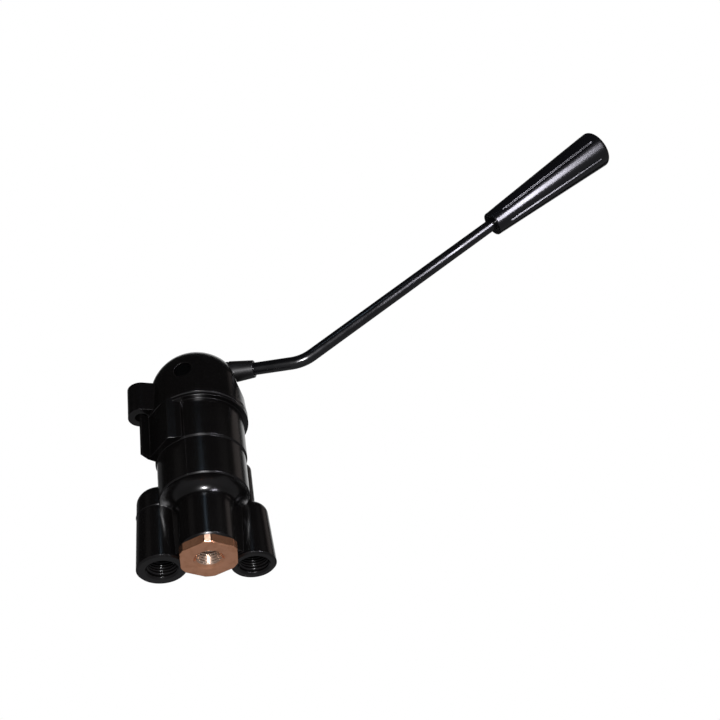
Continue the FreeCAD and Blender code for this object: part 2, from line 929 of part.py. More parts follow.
def slot_cutter():
    """The sector that the neck sweeps, cut through the dome."""
    cutter = new_body("slot_cutter")
    half = size("slot_half_width")
    section = outline(
        cutter,
        "slot_cutter_section",
        "YZ_Plane",
        [
            (-half, size("hub_radius") + 4),
            (half, size("hub_radius") + 4),
            (half, size("dome_radius") + 4),
            (-half, size("dome_radius") + 4),
        ],
    )
    inner_radius = math.sqrt(SIZES["dome_inner_radius"] ** 2 - SIZES["neck_half_width"] ** 2)
    neck_angle = math.degrees(math.asin(SIZES["neck_half_thickness"] / inner_radius))
    margin = neck_angle + SIZES["slot_end_gap"]
    span = SIZES["lever_travel"] + 2 * margin
    feature = profile_feature(
        cutter, "Revolution", "slot_cutter_turn", section, ReferenceAxis=(section, ["H_Axis"]), Angle=span
    )
    feature.Midplane = True
    middle = SIZES["neck_azimuth"] + SIZES["lever_travel"] / 2
    return place(cutter, z=size("pivot_level"), turn=Rotation(Vector(0, 1, 0), 90 - middle))


def cover_hollow():
    """The cover's inside: the socket for the spigot, the snap ring's groove and the round chamber."""
    inner = size("dome_inner_radius")
    pivot = size("pivot_level")
    snap_bottom = size("snap_ring_level")
    snap_top = snap_bottom + size("snap_ring_width")
    snap_floor = socket_radius + size("snap_ring_depth")
    return turned(
        "cover_hollow",
        [
            (0, rim_bottom - 1),
            (socket_radius, rim_bottom - 1),
            (socket_radius, snap_bottom),
            (snap_floor, snap_bottom),
            (snap_floor, snap_top),
            (socket_radius, snap_top),
            (socket_radius, socket_top),
            (inner, socket_top),
            (inner, pivot),
            Arc(0, pivot + inner, 0, pivot),
        ],
    )


def make_dome_cover():
    """Moulded cover: domed chamber for the lever's cam, slot, pivot bosses and two mounting ears."""
    pivot = size("pivot_level")
    masses = [dome_shell(), *ear("front", -1), *ear("rear", 1)]
    hollow = cut("cover_walls", fused("cover_masses", masses), [cover_hollow()])
    boss_length = size("dome_inner_radius") + 1 - boss_wall_face
    bosses = []
    for side, sign, turn in (("front", -1, UP_TO_MINUS_Y), ("rear", 1, UP_TO_Y)):
        boss = solid("Cylinder", f"{side}_pivot_boss", Radius=size("pivot_boss_radius"), Height=boss_length)
        bosses.append(place(boss, y=boss_wall_face * sign, z=pivot, turn=turn))
    pin_hole = solid(
        "Cylinder", "pin_hole", Radius=size("pin_radius") + size("press_gap"), Height=2 * size("dome_radius")
    )
    recesses = []
    head = size("pin_head_radius") + size("pin_recess_gap")
    for side, sign, turn in (("front", -1, UP_TO_MINUS_Y), ("rear", 1, UP_TO_Y)):
        recess = solid("Cylinder", f"{side}_pin_recess", Radius=head, Height=size("dome_radius"))
        recesses.append(place(recess, y=size("pin_seat") * sign, z=pivot, turn=turn))
    tools = [
        slot_cutter(),
        place(pin_hole, y=-size("dome_radius"), z=pivot, turn=UP_TO_Y),
        *recesses,
        ear_hole("front", -1),
        ear_hole("rear", 1),
    ]
    node(cut("dome_cover", fused("cover_with_bosses", [hollow, *bosses]), tools))


def along_pin(item, start):
    """Turns a piece made about Z so that it lies along the pivot pin, from start towards +Y."""
    return place(item, y=start, z=size("pivot_level"), turn=UP_TO_Y)


def make_pivot_parts():
    """Pivot pin with its head, its clip, the hub's bush and the two thrust washers."""
    radius = size("pin_radius")
    head = size("pin_head_radius")
    head_low = -(size("pin_seat") + size("pin_head_thickness"))
    clip_low = size("pin_seat") + size("running_gap")
    clip_high = clip_low + size("clip_thickness")
    groove = radius - size("clip_groove_depth")
    end = clip_high + size("pin_end")
    pin = turned(
        "pivot_pin",
        [
            (0, head_low),
            (head - 0.5, head_low),
            (head, head_low + 0.5),
            (head, -size("pin_seat")),
            (radius, -size("pin_seat")),
            (radius, clip_low),
            (groove, clip_low),
            (groove, clip_high + size("running_gap")),
            (radius, clip_high + size("running_gap")),
            (radius, end - 0.4),
            (radius - 0.4, end),
            (0, end),
        ],
    )
    node(along_pin(pin, 0))
    clip = open_ring(
        "pin_clip",
        groove + size("press_gap"),
        groove + size("clip_width"),
        0,
        size("clip_thickness") - size("press_gap"),
        70,
    )
    node(along_pin(clip, clip_low + size("press_gap")))
    bush = turned(
        "hub_bush",
        [
            (radius + size("running_gap"), -size("hub_half_width")),
            (hub_bore - size("press_gap"), -size("hub_half_width")),
            (hub_bore - size("press_gap"), size("hub_half_width")),
            (radius + size("running_gap"), size("hub_half_width")),
        ],
    )
    node(along_pin(bush, 0))
    low = size("hub_half_width") + size("running_gap")
    high = low + size("washer_thickness")
    washers = []
    for side, near, far in (("front", -high, -low), ("rear", low, high)):
        inner = radius + size("running_gap")
        section = [(inner, near), (size("washer_radius"), near), (size("washer_radius"), far), (inner, far)]
        washers.append(along_pin(turned(f"{side}_thrust_washer", section), 0))
    pair = doc.addObject("Part::Compound", "thrust_washers")
    pair.Label = "thrust_washers"
    pair.Links = washers
    node(pair)


def cam_plate():
    """The cam: an involute flank, so that the flat-topped plunger moves in step with the lever."""
    rate = SIZES["plunger_travel"] / math.radians(SIZES["lever_travel"])
    first = -90 - SIZES["lever_travel"] - SIZES["cam_lead"]
    last = -90 + SIZES["cam_lead"]
    flank = []
    for step in range(13):
        angle = math.radians(first + (last - first) * step / 12)
        height = SIZES["cam_height"] + rate * (angle + math.pi / 2)
        x = height * math.cos(angle) - rate * math.sin(angle)
        z = height * math.sin(angle) + rate * math.cos(angle)
        flank.append(Vector(x, 0, z))
    curve = Part.BSplineCurve()
    curve.interpolate(flank)
    hub = SIZES["hub_radius"] * 0.9
    nose_side = Vector(hub * math.cos(math.radians(10)), 0, hub * math.sin(math.radians(10)))
    back_side = Vector(-hub, 0, 0)
    edges = [
        curve.toShape(),
        Part.LineSegment(flank[-1], nose_side).toShape(),
        Part.LineSegment(nose_side, back_side).toShape(),
        Part.LineSegment(back_side, flank[0]).toShape(),
    ]
    face = Part.Face(Part.Wire(edges))
    half = SIZES["cam_half_width"]
    cam = doc.addObject("Part::Feature", "cam_plate")
    cam.Label = "cam_plate"
    cam.Shape = face.extrude(Vector(0, 2 * half, 0))
    return place(cam, y=-size("cam_half_width"), z=size("pivot_level"))


def lever_point(along, across, angle):
    """A place in the lever's plane, from the pivot, along a direction and to its left."""
    return along * cosine(angle) - across * sine(angle), along * sine(angle) + across * cosine(angle)


def inner_rod_point(back, across=0.0):
    """A place on the rod's inner run: its distance back from the bend's corner, and to its left."""
    x, z = lever_point(-back, across, size("rod_inner_angle"))
    return size("bend_reach") + x, size("bend_rise") + z


def inner_rod_turn():
    """The turn that lays a piece made about Z along the rod's inner run, towards the bend."""
    return Rotation(Vector(0, 1, 0), 90 - SIZES["rod_inner_angle"])


def outer_rod_turn():
    """The turn that lays a piece made about Z along the rod's outer run, towards the grip."""
    return Rotation(Vector(0, 1, 0), 90 - SIZES["rod_outer_angle"])


def make_lever_carrier():
    """Lever carrier: hub on the pivot pin, cam below it and the neck that leaves the cover's slot."""
    pivot = size("pivot_level")
    hub = solid("Cylinder", "lever_hub", Radius=size("hub_radius"), Height=2 * size("hub_half_width"))
    place(hub, y=-size("hub_half_width"), z=pivot, turn=UP_TO_Y)
    neck = new_body("lever_neck")
    half = size("neck_half_thickness")
    angle = size("neck_azimuth")
    face = collar_back
    top = size("neck_top")
    corners = [
        lever_point(0, half, angle),
        lever_point(0, -half, angle),
        lever_point(size("saddle_radius") - size("side_gap"), -half, angle),
        inner_rod_point(face, size("running_gap")),
        inner_rod_point(face, top),
        inner_rod_point(face + size("neck_top_length"), top),
        lever_point(size("neck_reach"), half, angle),
    ]
    section = outline(neck, "lever_neck_section", "XZ_Plane", corners)
    pad(neck, "lever_neck_pad", section, 2 * size("neck_half_width"), "Symmetric")
    place(neck, z=pivot)
    bore = solid("Cylinder", "lever_hub_bore", Radius=hub_bore, Height=2 * size("dome_radius"))
    place(bore, y=-size("dome_radius"), z=pivot, turn=UP_TO_Y)
    masses = fused("lever_carrier_masses", [hub, cam_plate(), neck])
    node(cut("lever_carrier", masses, [bore, rod_socket_tool("lever_rod_socket")]))


def rod_socket_tool(name):
    """The socket that the rod's inner run fills, from its inner end to the bend's corner."""
    x, z = inner_rod_point(size("rod_inner_length"))
    socket = solid("Cylinder", name, Radius=rod_socket, Height=size("rod_inner_length"))
    return place(socket, x, 0, size("pivot_level") + z, inner_rod_turn())


def make_rod_collar():
    """Conical collar on the rod, seated on the neck's face."""
    length = size("collar_length")
    large = size("collar_large_radius")
    small = size("collar_small_radius")
    chamfer = size("collar_chamfer")
    collar = turned(
        "collar_form",
        [
            (rod_socket, 0),
            (large - chamfer, 0),
            (large, chamfer),
            (small, length - 0.3),
            (small - 0.3, length),
            (rod_socket, length),
        ],
    )
    x, z = inner_rod_point(collar_back)
    place(collar, x, 0, size("pivot_level") + z, inner_rod_turn())
    clearance = size("saddle_radius") + size("collar_gap")
    relief = solid("Cylinder", "collar_relief", Radius=clearance, Height=2 * size("dome_radius"))
    place(relief, y=-size("dome_radius"), z=size("pivot_level"), turn=UP_TO_Y)
    node(cut("rod_collar", collar, [relief]))


def make_lever_rod():
    """Round steel rod with one bend, from the neck's socket into the grip."""
    pivot = size("pivot_level")
    radius = size("rod_radius")
    bend = size("rod_bend_radius")
    inner_angle = SIZES["rod_inner_angle"]
    turn_angle = size("rod_outer_angle") - size("rod_inner_angle")
    tangent = bend * sine(turn_angle / 2) / cosine(turn_angle / 2)
    inner = solid("Cylinder", "rod_inner_run", Radius=radius, Height=size("rod_inner_length") - tangent)
    x, z = inner_rod_point(size("rod_inner_length"))
    place(inner, x, 0, pivot + z, inner_rod_turn())
    centre_x, centre_z = inner_rod_point(tangent, bend)
    along = Vector(math.cos(math.radians(inner_angle)), 0, math.sin(math.radians(inner_angle)))
    towards_start = Vector(along.z, 0, -along.x)
    elbow_turn = Rotation(towards_start, along, Vector(0, -1, 0), "ZXY")
    elbow = solid("Torus", "rod_elbow", Radius1=bend, Radius2=radius, Angle3=turn_angle)
    place(elbow, centre_x, 0, pivot + centre_z, elbow_turn)
    start_x, start_z = lever_point(tangent, 0, size("rod_outer_angle"))
    outer_length = size("grip_start") + size("rod_in_grip") - tangent
    outer = solid("Cylinder", "rod_outer_run", Radius=radius, Height=outer_length)
    place(outer, size("bend_reach") + start_x, 0, pivot + size("bend_rise") + start_z, outer_rod_turn())
    node(fused("lever_rod", [inner, elbow, outer]))


def make_lever_grip():
    """Tapered hand grip with long narrow flutes, bored for the rod."""
    grip = new_body("lever_grip")
    length = size("grip_length")
    neck = size("grip_neck_radius")
    end = size("grip_end_radius")
    rounding = size("grip_end_round")
    taper = (end - neck) / (length - rounding - size("grip_neck_length"))
    section = [
        (0, 0),
        (neck - 0.6, 0),
        (neck, 0.6),
        (neck, size("grip_neck_length")),
        (end, length - rounding),
        Arc(end - rounding, length, end - rounding, length - rounding),
        (0, length),
    ]
    turned("grip_form", section, "Revolution", grip)
    bore = circles(grip, "grip_bore_outline", "XY_Plane", [(0, 0, rod_socket)])
    pocket_up(grip, "grip_bore", bore, size("rod_in_grip") + 0.5)
    start = size("grip_neck_length") + 1
    stop = length - rounding - size("grip_flute_margin")
    depth = size("grip_flute_depth")
    start_radius = neck + taper * (start - size("grip_neck_length")) - depth
    stop_radius = neck + taper * (stop - size("grip_neck_length")) - depth
    flute = outline(
        grip,
        "grip_flute_outline",
        "XZ_Plane",
        [
            (start_radius, start + depth),
            (stop_radius, stop),
            (stop_radius + 3 * depth, stop),
            (start_radius + 3 * depth, start - 2 * depth),
        ],
    )
    groove = profile_feature(
        grip, "Pocket", "grip_flute", flute, Length=size("grip_flute_width"), SideType="Symmetric"
    )
    pattern = grip.newObject("PartDesign::PolarPattern", "grip_flutes")
    pattern.Originals = [groove]
    pattern.Axis = (origin_feature(grip, "Z_Axis"), [""])
    pattern.Angle = 360.0
    pattern.Occurrences = 6
    grip.Tip = pattern
    x, z = lever_point(size("grip_start"), 0, size("rod_outer_angle"))
    x = size("bend_reach") + x
    z = size("bend_rise") + z
    node(place(grip, x, 0, size("pivot_level") + z, outer_rod_turn()))


def make_slot_shield():
    """Curved dust shield that rides on the neck and keeps the cover's slot closed."""
    shield = new_body("slot_shield_form")
    half = size("shield_half_width")
    outer = math.sqrt(SIZES["dome_inner_radius"] ** 2 - SIZES["shield_half_width"] ** 2) - SIZES["side_gap"]
    inner = outer - SIZES["shield_thickness"]
    section = outline(
        shield,
        "slot_shield_section",
        "YZ_Plane",
        [(-half, inner), (half, inner), (half, outer), (-half, outer)],
    )
    feature = profile_feature(
        shield,
        "Revolution",
        "slot_shield_turn",
        section,
        ReferenceAxis=(section, ["H_Axis"]),
        Angle=2 * size("shield_half_span"),
    )
    feature.Midplane = True
    across = size("neck_half_width") + size("press_gap")
    thick = size("neck_half_thickness") + size("press_gap")
    window = outline(
        shield,
        "slot_shield_window_outline",
        "XY_Plane",
        [(-thick, -across), (thick, -across), (thick, across), (-thick, across)],
    )
    pocket_up(shield, "slot_shield_window", window, 2 * size("dome_radius"))
    turn = Rotation(Vector(0, 1, 0), 90 - SIZES["neck_azimuth"])
    place(shield, z=size("pivot_level"), turn=turn)
    node(cut("slot_shield", shield, [rod_socket_tool("shield_rod_relief")]))


def make_plunger():
    """Flat-topped plunger that follows the cam and presses the graduating spring."""
    radius = size("plunger_radius")
    flange = size("plunger_flange_radius")
    low = plunger_flange_bottom
    plunger = turned(
        "plunger",
        [
            (0, low - 1.5),
            (size("graduating_coil") - size("graduating_wire") - 0.4, low - 1.5),
            (size("graduating_coil") - size("graduating_wire") - 0.4, low),
            (flange, low),
            (flange, size("plunger_flange_top")),
            (radius, size("plunger_flange_top")),
            (radius, plunger_top - 0.5),
            (radius - 0.5, plunger_top),
            (0, plunger_top),
        ],
    )
    node(plunger)


def make_plunger_guide():
    """Guide plate that closes the spring chamber, with vents for the exhaust air."""
    guide = new_body("plunger_guide")
    radius = size("guide_bore") - size("running_gap")
    low = size("guide_shelf")
    bore = size("plunger_radius") + size("running_gap")
    top = guide_top + size("guide_boss_height")
    section = [
        (bore, low),
        (radius, low),
        (radius, guide_top),
        (size("guide_boss_radius"), guide_top),
        (size("guide_boss_radius") - 0.8, top),
        (bore, top),
    ]
    turned("guide_form", section, "Revolution", guide)
    ring = circles(
        guide,
        "guide_vent_outline",
        "XY_Plane",
        [(size("guide_vent_distance"), 0, size("guide_vent_radius"))],
        low - 1,
    )
    vent = pocket_up(guide, "guide_vent", ring, size("guide_thickness") + 2)
    pattern = guide.newObject("PartDesign::PolarPattern", "guide_vents")
    pattern.Originals = [vent]
    pattern.Axis = (origin_feature(guide, "Z_Axis"), [""])
    pattern.Angle = 360.0
    pattern.Occurrences = 4
    guide.Tip = pattern
    node(guide)
    outer = size("guide_bore") + size("guide_clip_depth")
    clip_low = guide_top + size("running_gap")
    clip_high = clip_low + size("guide_clip_thickness")
    inner = outer - size("guide_clip_width")
    node(open_ring("guide_clip", inner, outer, clip_low, clip_high, size("guide_clip_opening")))


def make_reaction_piston():
    """Reaction piston with its ring, its hollow stem that vents the brake line, and the spring's seat."""
    low = size("piston_bottom")
    radius = size("cylinder_bore") - 0.1
    groove = size("cylinder_bore") - size("running_gap") - 2 * size("piston_ring_section") - 0.02
    middle = low + size("piston_thickness") / 2
    half = size("piston_groove_width") / 2
    boss_top = piston_top + size("piston_boss_height")
    tip = seat_level + size("running_gap")
    vent = size("piston_vent_radius")
    piston = turned(
        "reaction_piston",
        [
            (vent, tip),
            (size("piston_stem_radius") - 0.9, tip),
            (size("piston_stem_radius"), tip + 1.2),
            (size("piston_stem_radius"), low),
            (radius, low),
            (radius, middle - half),
            (groove, middle - half),
            (groove, middle + half),
            (radius, middle + half),
            (radius, piston_top),
            (size("piston_boss_radius"), piston_top),
            (size("piston_boss_radius"), boss_top - 0.5),
            (size("piston_boss_radius") - 0.5, boss_top),
            (vent, boss_top),
        ],
    )
    node(piston)
    ring = solid(
        "Torus",
        "piston_seal",
        Radius1=size("cylinder_bore") - size("running_gap") - size("piston_ring_section"),
        Radius2=size("piston_ring_section"),
    )
    node(place(ring, z=middle))
    inner = size("piston_boss_radius") + size("running_gap")
    plate = turned(
        "spring_seat",
        [
            (inner, piston_top),
            (size("seat_plate_radius"), piston_top),
            (size("seat_plate_radius"), seat_plate_top + size("seat_plate_lip")),
            (size("seat_plate_radius") - size("seat_plate_thickness"), seat_plate_top + size("seat_plate_lip")),
            (size("seat_plate_radius") - size("seat_plate_thickness"), seat_plate_top),
            (inner, seat_plate_top),
        ],
    )
    node(plate)


def make_inlet_valve():
    """Inlet valve: stem and head, the rubber disc that seals on both seats, and the stem's guide."""
    head = size("valve_head_radius")
    stem = size("valve_stem_radius")
    pip = 1.2
    pip_top = valve_head_top + size("valve_disc_thickness") / 2
    valve = turned(
        "inlet_valve",
        [
            (0, size("valve_stem_end")),
            (stem - 0.4, size("valve_stem_end")),
            (stem, size("valve_stem_end") + 0.4),
            (stem, valve_head_bottom),
            (head, valve_head_bottom),
            (head, valve_head_top),
            (pip, valve_head_top),
            (pip, pip_top),
            (0, pip_top),
        ],
    )
    node(valve)
    recess = pip + size("press_gap")
    disc = turned(
        "valve_disc",
        [
            (recess, valve_head_top),
            (head, valve_head_top),
            (head, seat_level - 0.2),
            (head - 0.2, seat_level),
            (0, seat_level),
            (0, pip_top),
            (recess, pip_top),
        ],
    )
    node(disc)
    guide = new_body("valve_guide")
    bore = stem + size("running_gap")
    boss = size("valve_guide_boss_radius")
    radius = size("chamber_bore") - size("running_gap")
    section = [
        (bore, shank_end),
        (radius, shank_end),
        (radius, valve_guide_top),
        (boss, valve_guide_top),
        (boss, shank_end + size("valve_guide_boss_height")),
        (bore, shank_end + size("valve_guide_boss_height")),
    ]
    turned("valve_guide_form", section, "Revolution", guide)
    ring = circles(
        guide,
        "valve_guide_hole_outline",
        "XY_Plane",
        [(size("valve_guide_hole_distance"), 0, size("valve_guide_hole"))],
        shank_end - 1,
    )
    hole = pocket_up(guide, "valve_guide_hole", ring, size("valve_guide_thickness") + 2)
    pattern = guide.newObject("PartDesign::PolarPattern", "valve_guide_holes")
    pattern.Originals = [hole]
    pattern.Axis = (origin_feature(guide, "Z_Axis"), [""])
    pattern.Angle = 360.0
    pattern.Occurrences = 4
    guide.Tip = pattern
    node(guide)


def make_spring(name, coil, wire, turns, low, high):
    """A round-wire compression spring with plain open ends, between two levels."""
    start = low + wire + size("press_gap")
    length = high - wire - size("press_gap") - start
    line = solid("Helix", f"{name}_line", Pitch=length / turns, Height=length, Radius=coil, Angle=0.0)
    place(line, z=start)
    section = solid("Circle", f"{name}_wire", Radius=wire)
    place(section, coil, 0, start, UP_TO_MINUS_Y)
    spring = doc.addObject("Part::Sweep", name)
    spring.Label = name
    spring.Sections = [section]
    spring.Spine = (line, [])
    spring.Solid = True
    spring.Frenet = True
    node(spring)


def make_springs():
    """The graduating, return and valve springs."""
    make_spring(
        "graduating_spring",
        size("graduating_coil"),
        size("graduating_wire"),
        size("graduating_turns"),
        seat_plate_top,
        plunger_flange_bottom,
    )
    make_spring(
        "piston_return_spring",
        size("return_coil"),
        size("return_wire"),
        size("return_turns"),
        size("cylinder_floor"),
        size("piston_bottom"),
    )
    make_spring(
        "valve_spring",
        size("valve_coil"),
        size("valve_wire"),
        size("valve_turns"),
        valve_guide_top,
        valve_head_bottom,
    )


def check_document():
    """Stops if any object failed, if a shape is bad, or if a cut took nothing away."""
    for item in doc.Objects:
        if "Invalid" in item.State or "Error" in item.State:
            raise RuntimeError(f"{item.Name} failed: {item.State}")
        if item.TypeId in ("PartDesign::Pocket", "PartDesign::Groove"):
            before = item.BaseFeature.Shape.Volume
            if item.Shape.Volume > before - 0.01:
                raise RuntimeError(f"{item.Name} cuts nothing")
    for item in NODES:
        if item.Shape.isNull() or not item.Shape.isValid() or not item.Shape.Solids:
            raise RuntimeError(f"{item.Label} has no good solid")


make_supply_adaptor()
make_port_body()
make_flange_gasket()
make_snap_ring()
make_dome_cover()
make_pivot_parts()
make_lever_carrier()
make_rod_collar()
make_lever_rod()
make_lever_grip()
make_slot_shield()
make_plunger()
make_plunger_guide()
make_reaction_piston()
make_inlet_valve()
make_springs()
doc.recompute()
check_document()

os.makedirs("parts", exist_ok=True)
for item in NODES:
    item.Shape.exportStep(f"parts/{item.Label}.step")
    print(f"{item.Label}: {len(item.Shape.Solids)} solid(s), {item.Shape.Volume / 1000:.2f} cm3")
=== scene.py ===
"""Looks of a hand brake valve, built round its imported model.

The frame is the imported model's: +Z runs up the valve's axis from the brass supply port to the
domed cover, and the lever swings in the XZ plane on the +X side. Sizes in the classes are in
millimetres, as on a drawing, and become metres where a mesh is made.
"""
import logging
import math
from abc import ABC, abstractmethod
from dataclasses import dataclass
from enum import Enum
from functools import cache

import bpy
import numpy as np
from mathutils import Matrix, Quaternion, Vector


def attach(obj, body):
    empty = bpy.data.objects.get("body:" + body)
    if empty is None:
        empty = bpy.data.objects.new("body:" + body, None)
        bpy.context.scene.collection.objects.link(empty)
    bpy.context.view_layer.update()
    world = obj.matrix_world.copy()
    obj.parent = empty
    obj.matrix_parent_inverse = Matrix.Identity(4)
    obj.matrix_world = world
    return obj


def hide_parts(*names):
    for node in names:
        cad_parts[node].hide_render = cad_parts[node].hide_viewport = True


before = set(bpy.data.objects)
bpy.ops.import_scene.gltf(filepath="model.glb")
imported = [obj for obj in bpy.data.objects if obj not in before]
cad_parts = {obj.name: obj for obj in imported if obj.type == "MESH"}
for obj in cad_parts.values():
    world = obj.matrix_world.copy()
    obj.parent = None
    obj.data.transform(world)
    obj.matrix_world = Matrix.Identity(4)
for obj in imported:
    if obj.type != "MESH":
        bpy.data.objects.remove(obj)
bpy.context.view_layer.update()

MM = 0.001
SMOOTH_BELOW = math.radians(32)
TURNED_SMOOTH_BELOW = math.radians(60)
log = logging.getLogger("hand_brake_valve")

Colour = tuple[float, float, float]
Point = tuple[float, float, float]
Pair = tuple[float, float]

# Axes of the side ports in x and y, mm.
DELIVERY_AXIS: Pair = (-24.860, 6.394)
EXHAUST_AXIS: Pair = (16.282, 21.125)


def full_turn(count: int) -> np.ndarray:
    """Gives evenly spaced angles round one whole turn.

    Args:
        count: the number of angles.

    Returns:
        The angles in radians, from 0.
    """
    return np.arange(count) * 2 * math.pi / count


def about_axis(centre: Pair, radius: np.ndarray, angle: np.ndarray, height: np.ndarray) -> np.ndarray:
    """Gives points round an upright axis; each input may be one number for all points.

    Args:
        centre: the axis in x and y.
        radius: distance from the axis.
        angle: azimuth in radians.
        height: height.

    Returns:
        The points, one row each.
    """
    across, deep = centre[0] + radius * np.cos(angle), centre[1] + radius * np.sin(angle)
    return np.stack(np.broadcast_arrays(across, deep, height), -1)


def linked(name: str, data: bpy.types.ID) -> bpy.types.Object:
    """Makes an object and puts it in the scene.

    Args:
        name: its name.
        data: its mesh, camera or light.

    Returns:
        The object.
    """
    made = bpy.data.objects.new(name, data)
    bpy.context.scene.collection.objects.link(made)
    return made


class Rider(Enum):
    """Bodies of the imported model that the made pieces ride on."""

    HOUSING = "housing"
    LEVER = "lever"


class Working(Enum):
    """How a metal surface was worked, which sets the way its fine marks run."""

    TURNED = "turned"
    DRAWN = "drawn"
    SINTERED = "sintered"


@dataclass(frozen=True)
class Signal:
    """The value of one output socket, with arithmetic that adds Math nodes.

    Attributes:
        board: the board whose nodes the socket belongs to.
        socket: the output socket.
    """

    board: "Board"
    socket: bpy.types.NodeSocket | None

    def _math(self, operation: str, *values: "Signal | float") -> "Signal":
        """Adds one Math node.

        Args:
            operation: the Math node's operation.
            values: its inputs in order.

        Returns:
            The node's value.
        """
        return self.board.node("ShaderNodeMath", {"operation": operation}, dict(enumerate(values)))

    def __add__(self, other: "Signal | float") -> "Signal":
        """Gives self + other."""
        return self._math("ADD", self, other)

    def __radd__(self, other: float) -> "Signal":
        """Gives other + self."""
        return self._math("ADD", other, self)

    def __sub__(self, other: "Signal | float") -> "Signal":
        """Gives self - other."""
        return self._math("SUBTRACT", self, other)

    def __rsub__(self, other: float) -> "Signal":
        """Gives other - self."""
        return self._math("SUBTRACT", other, self)

    def __mul__(self, other: "Signal | float") -> "Signal":
        """Gives self * other."""
        return self._math("MULTIPLY", self, other)

    def sine(self) -> "Signal":
        """Gives the sine of an angle in radians."""
        return self._math("SINE", self)

    def root(self) -> "Signal":
        """Gives the square root."""
        return self._math("SQRT", self)

    def band(self, low: float, high: float, to_low: float = 0.0, to_high: float = 1.0) -> "Signal":
        """Maps low..high smoothly to to_low..to_high and holds the ends.

        Args:
            low: input at the lower end.
            high: input at the upper end.
            to_low: result at and below low.
            to_high: result at and above high.

        Returns:
            The mapped value.
        """
        return self.board.node(
            "ShaderNodeMapRange",
            {"interpolation_type": "SMOOTHSTEP"},
            {"Value": self, "From Min": low, "From Max": high, "To Min": to_low, "To Max": to_high},
        )


class Board:
    """A node tree, of a material or the world, with one method that makes every node."""

    def __init__(self, name: str, owner: bpy.types.ID | None = None) -> None:
        """Empties the owner's node tree.

        Args:
            name: the name of the material that is made where there is no owner.
            owner: what has the node tree.
        """
        self.material = owner or bpy.data.materials.new(name)
        self.material.use_nodes = True
        self.tree = self.material.node_tree
        self.tree.nodes.clear()

    def node(
        self, kind: str, settings: dict | None = None, sockets: dict | None = None, output: int | str = 0
    ) -> Signal:
        """Makes a node, sets it and feeds it.

        Args:
            kind: the node's Blender type.
            settings: its properties, set first.
            sockets: input name or number to a Signal that is linked, or a value that is set.
            output: the output that is returned.

        Returns:
            The chosen output.
        """
        made = self.tree.nodes.new(kind)
        for key, value in (settings or {}).items():
            setattr(made, key, value)
        for key, value in (sockets or {}).items():
            if isinstance(value, Signal):
                self.tree.links.new(value.socket, made.inputs[key])
            else:
                made.inputs[key].default_value = value
        return Signal(self, made.outputs[output] if len(made.outputs) else None)

    def place(self) -> Signal:
        """Gives the place on the piece, in metres, which moves with the piece."""
        return self.node("ShaderNodeTexCoord", output="Object")

    def parts(self, vector: Signal) -> tuple[Signal, Signal, Signal]:
        """Splits a vector.

        Args:
            vector: the vector.

        Returns:
            Its x, y and z.
        """
        split = self.node("ShaderNodeSeparateXYZ", sockets={0: vector}).socket.node
        return tuple(Signal(self, split.outputs[i]) for i in range(3))

    def stretched(self, vector: Signal, by: Point) -> Signal:
        """Multiplies a vector part by part."""
        return self.node("ShaderNodeVectorMath", {"operation": "MULTIPLY"}, {0: vector, 1: by})

    def noise(self, vector: Signal, size: float, detail: float, spread: float) -> Signal:
        """Gives soft noise from 0 to 1.

        Args:
            vector: place in metres.
            size: the size of its spots in millimetres.
            detail: the number of finer layers.
            spread: how strongly the finer layers show.

        Returns:
            The noise.
        """
        sockets = {"Vector": vector, "Scale": 1 / (size * MM), "Detail": detail, "Roughness": spread}
        return self.node("ShaderNodeTexNoise", {"noise_dimensions": "3D"}, sockets)

    def mix(self, share: Signal, first: "Signal | Colour", second: "Signal | Colour") -> Signal:
        """Mixes two colours.

        Args:
            share: 0 gives first and 1 second.
            first: a colour.
            second: a colour.

        Returns:
            The mixed colour.
        """
        shades = [c if isinstance(c, Signal) else (*c, 1.0) for c in (first, second)]
        sockets = {0: share, 6: shades[0], 7: shades[1]}
        return self.node("ShaderNodeMix", {"data_type": "RGBA"}, sockets, output=2)

    def bump(self, height: Signal, depth: float, strength: float, below: Signal) -> Signal:
        """Turns a height into a normal.

        Args:
            height: the height, from 0 to 1.
            depth: what a height of 1 measures, in millimetres.
            strength: the node's strength.
            below: a normal that it adds to.

        Returns:
            The normal.
        """
        sockets = {"Strength": strength, "Distance": depth * MM, "Height": height, "Normal": below}
        return self.node("ShaderNodeBump", sockets=sockets)

    def dot(self, first: Signal, second: "Signal | Vector") -> Signal:
        """Gives the dot product of two vectors."""
        return self.node("ShaderNodeVectorMath", {"operation": "DOT_PRODUCT"}, {0: first, 1: second}, "Value")

    def soft_edges(self, radius: float) -> tuple[Signal, Signal]:
        """Rounds the edges in the shading.

        Args:
            radius: the edge's radius in millimetres.

        Returns:
            The rounded normal, and a mask that is 1 on the edges.
        """
        rounded = self.node("ShaderNodeBevel", {"samples": 4}, {"Radius": radius * MM})
        plain = self.node("ShaderNodeNewGeometry", output="Normal")
        return rounded, (1 - self.dot(rounded, plain)).band(0.02, 0.25)

    def surface(
        self, colour: Signal, roughness: "Signal | float", normal: Signal | None = None,
        metallic: float = 0.0, **constants: float,
    ) -> bpy.types.Material:
        """Ends the board in its shader.

        Args:
            colour: the base colour.
            roughness: the roughness.
            normal: the shading normal.
            metallic: 1 for bare metal.
            constants: other sockets, with "_" for a space, that are the same all over.

        Returns:
            The finished material.
        """
        sockets = {"Base Color": colour, "Roughness": roughness, "Metallic": metallic}
        if normal is not None:
            sockets["Normal"] = normal
        sockets.update({key.replace("_", " "): value for key, value in constants.items()})
        shader = self.node("ShaderNodeBsdfPrincipled", sockets=sockets)
        self.node("ShaderNodeOutputMaterial", sockets={"Surface": shader})
        return self.material


